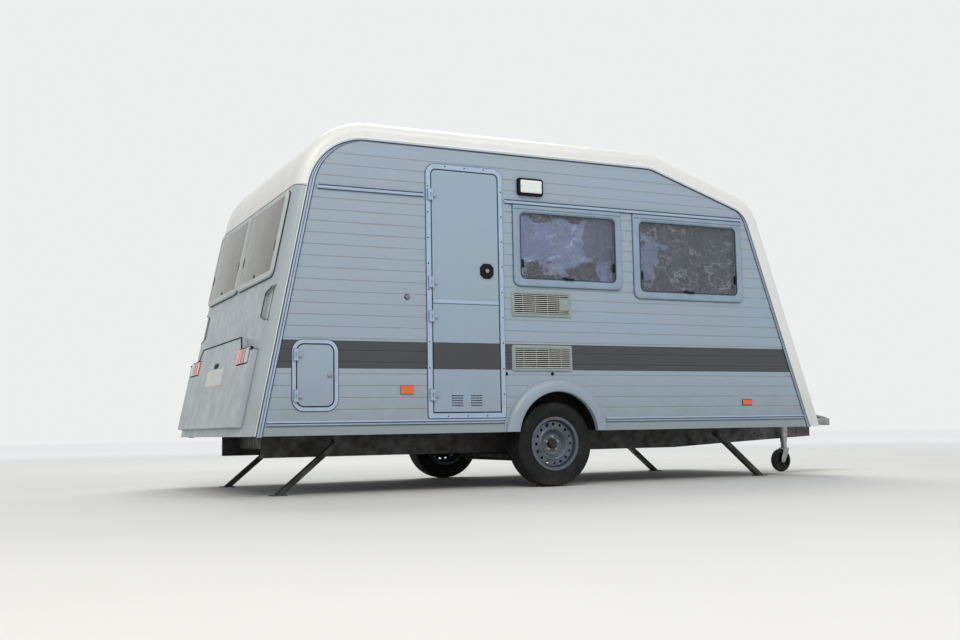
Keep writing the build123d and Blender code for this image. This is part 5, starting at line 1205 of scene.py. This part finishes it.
    def rails(self):
        """Rails over the side windows, rounded at their ends, with a dark filler above, widened as painted shade, and
        a drip seal below.
        """
        low, high = corner("window_rails", 0)[2], corner("window_rails", 1)[2]
        lines = [(SIDES[side], AXLE[0] + a, AXLE[0] + b) for side, ends in RAILS.items() for a, b in ends]
        rail = mm(0, -1, 0, 10.5, 2, 14.5, 5, 16, 9, 16.2)
        rails = [plate(plane, (a, b, low, high), 0.012, rail) for plane, a, b in lines]
        add_piece("window_rail_extrusions", rails, "extrusion", replaces=["window_rails"])
        drip = mm(-3, -1, -3, 7, 1, 11.5, 1, -1) + (low, 0)
        # The dark band above the rail is partly filler, partly painted shade under the rail's crown
        above = mm(-6.5, 4, -6.5, 17, -1.5, 16.5, 4, 6, 4, -1, -2, -1) + (high, 0)
        fillers = [bar(plane, a + 0.008, b - 0.008, s) for plane, a, b in lines for s in (drip, above)]
        add_piece("window_rail_fillers", fillers, "filler")


def crumpled(plane, box, depth, seed):
    """Sheet on a grid whose height is a sum of folded triangle waves in seeded directions, fading at its edges."""
    rng = np.random.default_rng(seed)
    columns = 96
    rows = max(24, int(columns * (box[3] - box[2]) / (box[1] - box[0])))
    u, v = np.meshgrid(np.linspace(box[0], box[1], columns), np.linspace(box[2], box[3], rows))
    height = np.zeros_like(u)
    for pitch, share in ((0.42, 0.34), (0.24, 0.30), (0.13, 0.22), (0.07, 0.14)):
        for _ in range(2):
            way = rng.uniform(0, math.pi)
            bend = 0.05 * np.sin(u * rng.uniform(4, 9) + rng.uniform(0, 6)) + 0.05 * np.sin(v * rng.uniform(4, 9))
            run = (u * math.cos(way) + v * math.sin(way) + bend) / pitch + rng.uniform(0, 1)
            height += share * 0.5 * (1 - 2 * np.abs(2 * (run - np.floor(run)) - 1))
    edge = np.minimum.reduce([u - box[0], box[1] - u, v - box[2], box[3] - v])
    height *= np.clip(edge / 0.03, 0.15, 1)
    return placed(plane, u, v, FOIL_OUT + depth * height)


def hang(name, points, key, sharp):
    """Thin sheet on a grid of points."""
    piece = add_piece(name, [grid_shape(points)], key, sharp=sharp)


class CARAVAN_OT_blinds(Work):
    """Crumpled foil behind the side windows and pleated blinds behind the end windows"""

    bl_idname = "caravan.blinds"
    bl_label = "Window foil and blinds"

    def execute(self, context):
        depth = context.scene.caravan_sizes.foil_crumple
        for side, plane in SIDES.items():
            for number, box in enumerate(map(from_axle, SIDE_WINDOWS[side])):
                seed = 11 + 2 * number + (side == "left")
                points = crumpled(plane, inset_box(box, 0.0585), depth, seed)
                hang(f"foil_{side}_{number + 1}", points, "foil", sharp=20)
        for end, (plane, boxes) in ENDS.items():
            for number, box in enumerate(boxes):
                y0, y1, v0, v1 = inset_box(box, 0.060)
                v = np.linspace(v0, v1, 2 * round((v1 - v0) / PLEAT) + 1)[:, None]
                zigzag = BLIND_OUT + PLEAT_DEPTH * (np.arange(len(v))[:, None] % 2)
                points = placed(plane, np.linspace(y0, y1, 3), v, zigzag)
                hang(f"blind_{end}_{number + 1}", points, "blind", sharp=45)
        return {"FINISHED"}


def screws_round(plane, box, pitch, inset):
    """Screw heads at an even pitch along the lines inside a frame's edge."""
    u0, u1, v0, v1 = inset_box(box, inset)
    places = [(u, v) for v in spaced(v0 + 0.06, v1 - 0.06, pitch) for u in (u0, u1)]
    places += [(u, v) for u in spaced(u0 + 0.06, u1 - 0.06, pitch) for v in (v0, v1)]
    return [dome(plane, u, v, 0.0052, 0.0020) for u, v in places]


class CARAVAN_OT_door(Work):
    """Two-part door with its seals, screws, split strips, louvres and lock, and the locker beside it"""

    bl_idname = "caravan.door"
    bl_label = "Door and locker"

    def execute(self, context):
        face = raised(RIGHT, DOOR_PROUD)
        eased_copy("door_upper_skin", "door_upper", "door", "door_upper_leaf", width=0.0018)
        eased_copy("door_lower_skin", "door_lower", "door", "door_lower_leaf", width=0.0012)
        eased_copy("locker_lid_skin", "locker_lid", "door", "locker_flap", width=0.0018)
        edge = mm(-4.5, -0.5, -4.5, 3, -1, 5.5, 1.5, 6, 1.5, -0.5)
        seals = []
        for box, radii, width in ((DOOR, DOOR_RADII, DOOR_FRAME_W), (LOCKER, LOCKER_R, LOCKER_FRAME_W)):
            gap = mm(-2, -12, -2, 8.5, 1.5, 8.5, 1.5, -12) + (width, 0)
            seals += [ring(RIGHT, box, radii, profile) for profile in (gap, edge)]
        add_piece("door_and_locker_seals", seals, "filler")
        heads = screws_round(raised(face, 0.0005), DOOR, context.scene.caravan_sizes.screw_pitch, 0.013)
        add_piece("door_frame_screws", heads, "abs")
        self.hinges(face)
        self.split_and_louvres(face)

        u, v = DOOR_LOCK
        case = mm(0, -1, 0, 5, 4, 10.5, 12, 12.5, 18, 12.5, 21, 10, 26, 9.5)
        case = plate(face, box_at(u, v, 0.106, 0.108), 0.028, case, steps=1)
        add_piece("door_lock_case", [case], "abs", "door_upper_leaf", replaces=["door_lock"], sharp=20)
        barrel = disc(face, u, v, mm(15, 8, 15, 15, 13, 17.5, 8.5, 18, 7.8, 16.5, 1, 16.5))
        add_piece("door_lock_barrel", [barrel], "zinc", "door_upper_leaf")
        keyway = plate(face, box_at(u, v, 0.0018, 0.012), 0.0006, mm(0, 15.8, 0, 17))
        add_piece("door_lock_keyway", [keyway], "abs", "door_upper_leaf")
        button = mm(16, -1, 16, 5, 14, 8, 9, 9, 8, 7.5, 1, 7.5)
        lock = disc(face, LOCKER[1] - 0.058, (LOCKER[2] + LOCKER[3]) / 2, button)
        add_piece("locker_lock", [lock], "zinc", "locker_flap")
        set_finish("extrusion", "door_frame", "locker_frame")
        return {"FINISHED"}

    def hinges(self, face):
        """Covers over the hinges of door and locker, each on a dark gasket."""
        rests, covers = [], []
        for x, leaf, heights in HINGES:
            for z in heights:
                pad = (x - leaf - 0.0020, x - 0.0005, z - 0.0410, z + 0.0410)
                cover = (x - leaf + 0.0005, x - 0.0060, z - 0.0128, z + 0.0128)
                rests.append(plate(face, pad, 0.002, mm(0, -6, 0, 1.2, 1, 1.6)))
                covers.append(plate(face, cover, 0.002, mm(0, -4, 0, 12, 1.5, 13.2)))
        add_piece("hinge_gaskets", rests, "filler")
        add_piece("hinge_covers", covers, "extrusion")

    def split_and_louvres(self, face):
        """Strip and seal where the leaves meet, and two groups of five louvres: half-round hoods over dark slits of
        painted shade.
        """
        inset = DOOR_FRAME_W + DOOR_GAP + 0.002
        for name, low, high, top, edge, key in (
            ("door_split_strip", -0.026, 0.0020, 0.0045, 0.0015, "extrusion"),
            ("door_split_seal", -0.0290, -0.0255, 0.0022, 0.0006, "filler"),
        ):
            section = flat_section(DOOR_SPLIT_Z + low, DOOR_SPLIT_Z + high, -0.0005, top, edge)
            add_piece(name, [bar(face, DOOR[0] + inset, DOOR[1] - inset, section)], key, "door_lower_leaf")
        turn = arc(180, 0, 6)
        hood = np.column_stack([0.0030 + 0.0048 * np.cos(turn), 0.0060 * np.sin(turn)])
        hood = np.concatenate([mm(-2, -2), hood, mm(8, -2)])
        hoods, slits = [], []
        count = LOUVRES["count"]
        for start in LOUVRES["starts"]:
            ends = (AXLE[0] + start, AXLE[0] + start + LOUVRES["width"])
            for z in LOUVRES["z"] + LOUVRES["pitch"] * (np.arange(count) - (count - 1) / 2):
                hoods.append(bar(face, *ends, hood + (z, 0)))
                # Dark strip under each hood: painted shade in the slot
                slits.append(plate(face, (*ends, z - 0.0062, z - 0.0018), 0.001, mm(0, -3, 0, 0.6)))
        add_piece("door_louvre_hoods", hoods, "door", "door_lower_leaf")
        add_piece("door_louvre_painted_shade", slits, "abs", "door_lower_leaf")


class CARAVAN_OT_vents(Work):
    """Side vents: a moulded border with upright bars and columns of slats, paler as painted highlight, over a dark
    back of painted shade
    """

    bl_idname = "caravan.vents"
    bl_label = "Side vents"

    def execute(self, context):
        pitch = context.scene.caravan_sizes.slat_pitch
        border = mm(-4, -1, -4, 1.5, 0, 4, 2.5, 9, 6, 10.5, 11, 10.5, 15, 8.5, 18, 11.5, 20, 11.8, 21, 9, 21, -1)
        slat = mm(-3, 1.4, -3.4, 8.5, -2.4, 9.6, 1.8, 5.5, 1.8, 2)
        cream, slats, shade_backs = [], [], []
        for heights in VENTS_Z:
            box = from_axle((*VENTS_X, *heights))
            cream.append(ring(RIGHT, box, 0.014, border))
            # Dark plate behind the slats: painted shade inside the vent
            shade_backs.append(plate(RIGHT, inset_box(box, 0.020), 0.004, mm(0, -1, 0, 1.6)))
            left, right, low, high = inset_box(box, 0.0205)
            posts = left + (right - left) * np.array([0.157, 0.385, 0.612, 0.840])
            for post in posts:
                section = flat_section(post - 0.0018, post + 0.0018, 0.0, 0.0070, 0.001)
                cream.append(bar(RIGHT, low - 0.001, high + 0.001, section, upright=True))
            rows = spaced(low, high, pitch)
            slats += [bar(RIGHT, left - 0.001, right + 0.001, slat + (z, 0)) for z in rows]
        # The upper vent's last column has a blank plate over its middle slats
        blank = (posts[-1] + 0.002, right + 0.001, rows[2] - pitch / 2, rows[-3] + pitch / 2)
        cream.append(plate(RIGHT, blank, 0.002, mm(0, 0, 0, 9.8, 1.5, 10.6, 3, 10.6)))
        add_piece("side_vent_grilles", cream, "cream", replaces=["side_vents"])
        # Slats in paler plastic than the border: painted highlight on their sky-lit tops
        add_piece("side_vent_slats_painted_highlight", slats, "white")
        add_piece("side_vent_backs_painted_shade", shade_backs, "abs")
        return {"FINISHED"}


class CARAVAN_OT_porch_lamp(Work):
    """Lamp over the awning side: a dark case and a ribbed opal lens held by two screws"""

    bl_idname = "caravan.porch_lamp"
    bl_label = "Porch lamp"

    def execute(self, context):
        low, high = corner("porch_lamp", 0), corner("porch_lamp", 1)
        box = (low[0], high[0], low[2], high[2])
        case = ring(RIGHT, box, 0.018, mm(0, -1, 0, 22, 4, 30, 10, 33, 16, 33, 18, 29, 18, -1))
        back = plate(RIGHT, inset_box(box, 0.015), 0.006, mm(0, 0, 0, 18))
        add_piece("porch_lamp_case", [case, back], "abs", replaces=["porch_lamp"])
        u0, u1, v0, v1 = inset_box(box, 0.017)
        lens = plate(RIGHT, (u0, u1, v0, v1), 0.010, mm(0, 17, 0, 34, 4, 38.5, 12, 39.5))
        rib = mm(-1.8, 38.8, -1, 41.2, 1, 41.2, 1.8, 38.8)
        places = spaced(u0 + 0.010, u1 - 0.010, 0.0055)
        ribs = [bar(RIGHT, v0 + 0.010, v1 - 0.010, rib + (u, 0), upright=True) for u in places]
        add_piece("porch_lamp_lens", [lens, *ribs], "opal", replaces=["porch_lens"])
        front = raised(RIGHT, 0.0395)
        heads = [dome(front, u, (v0 + v1) / 2, 0.0050, 0.0020, base=-0.003) for u in (u0 + 0.0065, u1 - 0.0065)]
        add_piece("porch_lamp_screws", heads, "zinc")
        return {"FINISHED"}


class CARAVAN_OT_wheel_arches(Work):
    """Flared arches of glass fibre, convex from their beaded foot to their rolled lip"""

    bl_idname = "caravan.wheel_arches"
    bl_label = "Wheel arches"

    def execute(self, context):
        foot_r, swell = 1000 * ARCH_FOOT_R, arc(0, 90, 10)
        radius, out = np.concatenate([
            mm(foot_r, -1, foot_r, 3.5, 429, 5.5, 423, 6),
            np.column_stack([0.352 + 0.069 * np.cos(swell), 0.006 + 0.049 * np.sin(swell)]),
            mm(338, 55, 330, 53.5, 326, 50, 326, 12, 330, 10, 331, 48.5, 345, 50, 380, 36, 405, 12, 405, -1),
        ]).T[..., None]
        start = np.arcsin((BODY_BOTTOM - ARCH_Z + 0.001) / radius)
        turn = start + np.linspace(0, 1, 73) * (math.pi - 2 * start)
        x, z = AXLE[0] + radius * np.cos(turn), ARCH_Z + radius * np.sin(turn)
        flares = [shell(placed(plane, x, z, out).transpose(1, 0, 2)) for plane in (RIGHT, LEFT)]
        add_piece("wheel_arch_flares", flares, "arch", replaces=["arch_flanges"], sharp=40)
        return {"FINISHED"}


class CARAVAN_OT_wheels(Work):
    """Road wheels: treaded tyres, pressed rims with their bolts, hub caps and valves"""

    bl_idname = "caravan.wheels"
    bl_label = "Road wheels"

    def execute(self, context):
        turn = TAU * (np.arange(5) + 0.25) / 5
        places = BOLT_CIRCLE_R * np.stack([np.cos(turn), np.sin(turn)], -1)
        nut, seat = mm(10.5, 12, 10.5, 36, 8.5, 39, 1, 39), mm(14, 15, 14, 26.2, 11.8, 28.5, 10.5, 28.5)
        dish = mm(
            33.5, 18, 33.5, 40, 31.8, 42.5, 30, 43, 29, 52, 27.5, 54.5, 22.5, 56, 21, 55, 19.5, 56, 10, 58, 1, 58.4,
        )
        valve_r, valve_run = mm(5.2, 0, 5.2, 16, 4, 20, 4, 30, 3.2, 32).T
        for side, (_, across, up, out) in SIDES.items():
            body = f"wheel_{side}"
            hub = (AXLE + TRACK_Y * out, across, up, out)
            self.tyre(side, hub, context.scene.caravan_sizes.tread_depth)
            eased_copy(f"rim_{side}_pressed", f"rim_{side}", "wheel", body, width=0.0012, sharp=25)
            bolts = [disc(hub, u, v, nut, steps=6) for u, v in places]
            bolts += [disc(hub, u, v, seat, steps=20) for u, v in places]
            add_piece(f"wheel_bolts_{side}", bolts, "zinc", body)
            add_piece(f"hub_cap_{side}", [disc(hub, 0, 0, dish, steps=48)], "forged", body)
            outward = np.array((math.cos(VALVE["turn"]), 0, math.sin(VALVE["turn"])))
            lean = out - VALVE["lean"] * outward
            foot = hub[0] + VALVE["radius"] * outward + VALVE["out"] * out
            path = foot + valve_run[:, None] * lean / np.linalg.norm(lean)
            add_piece(f"valve_{side}", [tube(path, valve_r, 12)], "rubber", body)
            set_finish("forged", f"brake_drum_{side}")
        return {"FINISHED"}

    def tyre(self, side, hub, depth):
        """Carcass turned from its section, its radius cut by ribs, slanted slots and sipes worked out per point."""
        across = np.linspace(-TREAD_HALF_W, TREAD_HALF_W, 57)[:, None]
        crown = TYRE_R - 0.004 * (across / TREAD_HALF_W) ** 2
        turn, waves, lugs = whole_turn(720), 60, 72
        ribs = np.zeros((len(across), len(turn)))
        for place in (-0.045, -0.016, 0.016, 0.045):
            wave = place + 0.0028 * np.sign(np.sin(turn * waves)) * (abs(place) < 0.03)
            ribs = np.maximum(ribs, np.clip(1.6 - np.abs(across - wave) / 0.0032, 0, 1))
        pitch = ((turn + 1.4 * across / TYRE_R) * lugs / TAU) % 1
        slots = np.clip(1.5 - np.abs(pitch - 0.5) * 14, 0, 1) * (np.abs(across) > 0.047)
        sipes = 0.6 * np.clip(1.3 - np.abs(pitch - 0.5) * 20, 0, 1) * (np.abs(across) < 0.044)
        tread = crown - depth * np.maximum.reduce([ribs, slots, sipes])
        wall_r, wall_y = mm(
            304.5, 74.5, 301, 80, 295.5, 84.5, 288, 88, 279, 90.3, 270, 91.7, 262, 92.5, 260, 92.5, 259, 91.8,
            250, 92, 240, 91.3, 239.2, 90.5, 232, 90, 224, 88, 217, 85.2, 211, 82.2, 208.5, 82.2, 205, 80,
            200, 79, 196, 78, 195, 77, 178, 75,
        ).T[..., None]
        wall = wall_r + np.zeros(len(turn))
        wall[:4] -= 0.0025 * slots[-1] * np.array([1, 1, 0.8, 0.4])[:, None]
        radius, out = np.concatenate([wall[::-1], tread, wall]), np.concatenate([-wall_y[::-1], across, wall_y])
        points = placed(hub, radius * np.cos(turn), radius * np.sin(turn), out)
        points[..., 2] = np.maximum(points[..., 2], 0.0)
        shape = grid_shape(points, wrap_rows=True, wrap_columns=True)
        add_piece(f"tyre_{side}_treaded", [shape], "tyre", f"wheel_{side}", replaces=[f"tyre_{side}"], sharp=35)


class CARAVAN_OT_rear_end(Work):
    """Rear skirt with its edge trim, lamp units, blank plate and its lamp"""

    bl_idname = "caravan.rear_end"
    bl_label = "Rear skirt and lamps"

    def execute(self, context):
        eased_copy("rear_skirt_moulding", "rear_valance", "gel_coat_painted_shade", width=0.005)
        low_v = up_slope(0.455, REAR_LEAN)
        reach_x = REAR_FOOT_X - corner("rear_valance", 0)[0]
        thick = (reach_x + low_v * math.sin(REAR_LEAN)) / math.cos(REAR_LEAN)
        face = raised(REAR, thick)
        half = np.array([(1.010, 0.9620), (0.700, 0.985), (0.620, 1.070)])
        line = np.concatenate([half, half[::-1] * (-1, 1)])
        path = placed(face, line[:, 0], up_slope(line[:, 1], REAR_LEAN), 0)
        add_piece("rear_skirt_trim", [tube(path, 0.0055, 10)], "rubber")
        y, z, width, height = TAIL_LAMP
        cases, lenses = [], {"red": [], "amber": [], "clear": []}
        for sign, keys in ((-1, ("clear", "red", "red", "amber")), (1, ("amber", "red", "red", "clear"))):
            box = box_at(sign * y, up_slope(z, REAR_LEAN), width, height)
            cases.append(plate(face, box, 0.010, mm(0, -21, 0, -3, 3, 0, 6, 0)))
            ends = np.linspace(box[0] + 0.007, box[1] - 0.007, 5)
            for a, b, key in zip(ends, ends[1:], keys):
                cell = (a + 0.001, b - 0.001, box[2] + 0.007, box[3] - 0.007)
                lenses[key].append(plate(face, cell, 0.006, mm(0, -1, 0, 2, 3, 5, 8, 5.8)))
        add_piece("rear_lamp_cases", cases, "abs", replaces=["tail_lamps"])
        for key, shapes in lenses.items():
            add_piece(f"rear_lamp_{key}s", shapes, key)
        box = (-PLATE_HALF_W, PLATE_HALF_W, *(up_slope(z, REAR_LEAN) for z in PLATE_Z))
        blank = plate(face, box, 0.008, mm(0, -1, 0, 2.2, 1, 3.2, 3, 3.2))
        add_piece("number_plate_blank", [blank], "white")
        lamp = plate(face, (-0.060, 0.060, box[3] + 0.010, box[3] + 0.045), 0.010, mm(0, -1, 0, 3.5, 6, 5.8, 14, 5.8))
        add_piece("plate_lamp", [lamp], "abs")
        return {"FINISHED"}


class CARAVAN_OT_nose(Work):
    """Gas locker lid with its seal and locks, and the loop handles"""

    bl_idname = "caravan.nose"
    bl_label = "Gas locker and handles"

    def execute(self, context):
        eased_copy("gas_lid_moulding", "gas_lid", "moulding", "gas_flap", width=0.003)
        low, high = (up_slope(z, FRONT_LEAN) for z in GAS_LID_Z)
        box = (-GAS_LID_HALF_W, GAS_LID_HALF_W, low, high)
        seal = ring(FRONT, box, 0.040, mm(-10, -1, -10, 3, -6, 5.5, -0.8, 5.5, -0.4, -20, -1, -22, -4, -3))
        add_piece("gas_locker_seal", [seal], "rubber")
        lock = mm(22, -1, 22, 6, 19, 10, 10, 11, 9, 9, 1, 9)
        locks = [disc(FRONT, y, low + 0.050, lock) for y in (-0.400, 0.400)]
        add_piece("gas_lid_locks", locks, "abs", "gas_flap")
        swage = ring(FRONT, inset_box(box, 0.070), 0.045, mm(0, -1, 4, 6, 10, 8, 16, 6, 20, -1))
        add_piece("gas_lid_swage", [swage], "moulding", "gas_flap")
        eased_copy("front_handle_bars", "grab_handles", "white", width=0)
        y, z, half = HANDLES
        foot, v = mm(20, -1, 20, 4, 16, 7, 10, 8), up_slope(z, FRONT_LEAN)
        feet = [disc(FRONT, sign * y, v + by, foot) for sign in (-1, 1) for by in (-half, half)]
        add_piece("front_handle_feet", feet, "white")
        return {"FINISHED"}


class CARAVAN_OT_roof(Work):
    """Roof hatch with its translucent lid"""

    bl_idname = "caravan.roof"
    bl_label = "Roof hatch"

    def execute(self, context):
        eased_copy("hatch_dome", "hatch_lid", "opal", "hatch_flap", width=0.003)
        set_finish("white", "hatch_frame")
        return {"FINISHED"}


class CARAVAN_OT_fittings(Work):
    """Reflectors, hook and buttons on the sides, and marker lamps on the front"""

    bl_idname = "caravan.fittings"
    bl_label = "Reflectors and small fittings"

    def execute(self, context):
        lenses, bases, blacks, clears = [], [], [], []
        button = mm(12, -1, 12, 5, 9, 8, 2, 9)
        for plane in (RIGHT, LEFT):
            for made, x, z, width, height, out in (
                (lenses, -1.165, 0.698, 0.098, 0.056, 10), (bases, -1.165, 0.698, 0.100, 0.058, 5),
                (lenses, 1.738, 0.600, 0.090, 0.040, 9), (bases, 1.738, 0.600, 0.098, 0.048, 5),
            ):
                block = mm(0, -1, 0, out - 3, 3, out, 6, out)
                made.append(plate(plane, box_at(AXLE[0] + x, z, width, height), 0.006, block))
            blacks += [disc(plane, AXLE[0] + x, z, button) for x, z in BUTTONS]
        blacks.append(disc(RIGHT, *HOOK, mm(19, -1, 19, 4, 16.5, 6, 1, 6)))
        knob = mm(14, 4, 14, 9, 12, 11, 8.5, 11, 7, 7, 4.5, 7, 3.5, 16, 1, 17)
        add_piece("side_hook", [disc(RIGHT, *HOOK, knob)], "zinc")
        add_piece("side_reflectors", lenses, "amber")
        add_piece("side_reflector_bases", bases, "abs")
        y, z = MARKERS
        for sign in (-1, 1):
            box = box_at(sign * y, up_slope(z, FRONT_LEAN), 0.090, 0.040)
            blacks.append(plate(FRONT, box, 0.008, mm(0, -4, 0, 6, 3, 9)))
            clears.append(plate(FRONT, inset_box(box, 0.006), 0.006, mm(0, 6, 0, 16, 6, 22, 12, 23)))
        add_piece("small_black_fittings", blacks, "abs")
        add_piece("front_marker_lenses", clears, "clear")
        return {"FINISHED"}


class CARAVAN_OT_chassis(Work):
    """Finishes of floor, chassis, axle, coupling, nose wheel and legs, with the gaiter's bellows"""

    bl_idname = "caravan.chassis"
    bl_label = "Chassis and running gear"

    def execute(self, context):
        for key, nodes in CHASSIS_FINISHES.items():
            set_finish(key, *nodes)
        low, high = corner("draw_gaiter", 0), corner("draw_gaiter", 1)
        folds = 9
        share = np.linspace(0, 1, folds * 8 + 1)
        radius = 0.030 + 0.008 * (0.5 - 0.5 * np.cos(share * folds * TAU)) ** 0.7
        path = np.tile((low + high) / 2, (len(share), 1))
        path[:, 0] = low[0] + share * (high[0] - low[0])
        bellows = tube(path, radius, 40)
        add_piece("draw_gaiter_bellows", [bellows], "rubber", replaces=["draw_gaiter"], sharp=60)
        return {"FINISHED"}


class CARAVAN_OT_stage(Work):
    """Pale studio floor, soft lamps and the camera at the photograph's viewing angle"""

    bl_idname = "caravan.stage"
    bl_label = "Floor, lamps and camera"

    def execute(self, context):
        level = (np.zeros(3), *np.eye(3))
        turn, radius = whole_turn(96), np.array([0.0, 3, 8, 20, 60])[:, None] + 1e-3
        points = placed(level, radius * np.cos(turn), radius * np.sin(turn), -0.0006)
        mesh = mesh_from("studio_floor", [grid_shape(points, wrap_columns=True)])
        mesh.materials.append(finish("studio"))
        linked("studio_floor", mesh)
        for name, spot, width, watts, colour in STUDIO_LAMPS:
            lamp = bpy.data.lights.new(name, "AREA")
            lamp.shape = "DISK"
            lamp.size = width
            lamp.energy = watts
            lamp.color = linear(colour)
            holder = linked(name, lamp)
            holder.location = spot
            holder.rotation_euler = (Vector((0, 0, 1.2)) - Vector(spot)).to_track_quat("-Z", "Y").to_euler()
        self.backdrop(context.scene)
        self.camera(context.scene)
        context.scene.view_settings.view_transform = "Standard"
        return {"FINISHED"}

    def backdrop(self, scene):
        """World that lights softly, and is paler to the camera and in gloss and glass."""
        world = bpy.data.worlds.new("studio")
        world.use_nodes = True
        tree = world.node_tree
        tree.nodes.clear()
        rays = add_node(tree, "LightPath", {}).outputs
        seen = rays["Is Camera Ray"]
        for other in ("Is Glossy Ray", "Is Transmission Ray"):
            seen = add_node(tree, "Math", {0: seen, 1: rays[other]}, operation="MAXIMUM").outputs[0]
        light = add_node(tree, "Background", {"Color": rgba("E9EDF2"), "Strength": 0.62})
        pale = add_node(tree, "Background", {"Color": rgba("EDEEEE"), "Strength": 1.0})
        mixed = add_node(tree, "MixShader", {0: seen, 1: light.outputs[0], 2: pale.outputs[0]})
        add_node(tree, "OutputWorld", {"Surface": mixed.outputs[0]})
        scene.world = world

    def camera(self, scene):
        """Camera from its yaw, pitch and roll: the view ahead, its level across, and both turned by the roll."""
        yaw, pitch, roll = CAMERA_TURN
        ahead = Vector((math.sin(yaw) * math.cos(pitch), math.cos(yaw) * math.cos(pitch), math.sin(pitch)))
        level = Vector((math.cos(yaw), -math.sin(yaw), 0))
        down = ahead.cross(level)
        right = math.cos(roll) * level + math.sin(roll) * down
        up = math.sin(roll) * level - math.cos(roll) * down
        lens = bpy.data.cameras.new("camera")
        lens.sensor_width = 36.0
        lens.lens = CAMERA_FOCUS * lens.sensor_width
        lens.clip_end = 200
        camera = linked("camera", lens)
        camera.matrix_world = Matrix((*zip(right, up, -ahead, CAMERA_PLACE), (0, 0, 0, 1)))
        scene.camera = camera


OPERATORS = (
    CARAVAN_OT_side_sheets,
    CARAVAN_OT_mouldings,
    CARAVAN_OT_edge_strips,
    CARAVAN_OT_windows,
    CARAVAN_OT_blinds,
    CARAVAN_OT_door,
    CARAVAN_OT_vents,
    CARAVAN_OT_porch_lamp,
    CARAVAN_OT_wheel_arches,
    CARAVAN_OT_wheels,
    CARAVAN_OT_rear_end,
    CARAVAN_OT_nose,
    CARAVAN_OT_roof,
    CARAVAN_OT_fittings,
    CARAVAN_OT_chassis,
    CARAVAN_OT_stage,
)


class CARAVAN_PT_panel(bpy.types.Panel):
    """Sizes, colours and steps of the caravan"""

    bl_idname = "CARAVAN_PT_panel"
    bl_label = "Travel caravan"
    bl_space_type = "VIEW_3D"
    bl_region_type = "UI"
    bl_category = "Caravan"

    def draw(self, context):
        for values in (context.scene.caravan_sizes, context.scene.caravan_colours):
            for name in values.__annotations__:
                self.layout.prop(values, name)
        for operator in OPERATORS:
            self.layout.operator(operator.bl_idname)


CLASSES = (CaravanSizes, CaravanColours, *OPERATORS, CARAVAN_PT_panel)


def register():
    for cls in CLASSES:
        bpy.utils.register_class(cls)
    bpy.types.Scene.caravan_sizes = PointerProperty(type=CaravanSizes)
    bpy.types.Scene.caravan_colours = PointerProperty(type=CaravanColours)


def unregister():
    del bpy.types.Scene.caravan_colours
    del bpy.types.Scene.caravan_sizes
    for cls in reversed(CLASSES):
        bpy.utils.unregister_class(cls)


def main():
    register()
    for operator in OPERATORS:
        family, name = operator.bl_idname.split(".")
        getattr(getattr(bpy.ops, family), name)()


if __name__ == "__main__":
    main()
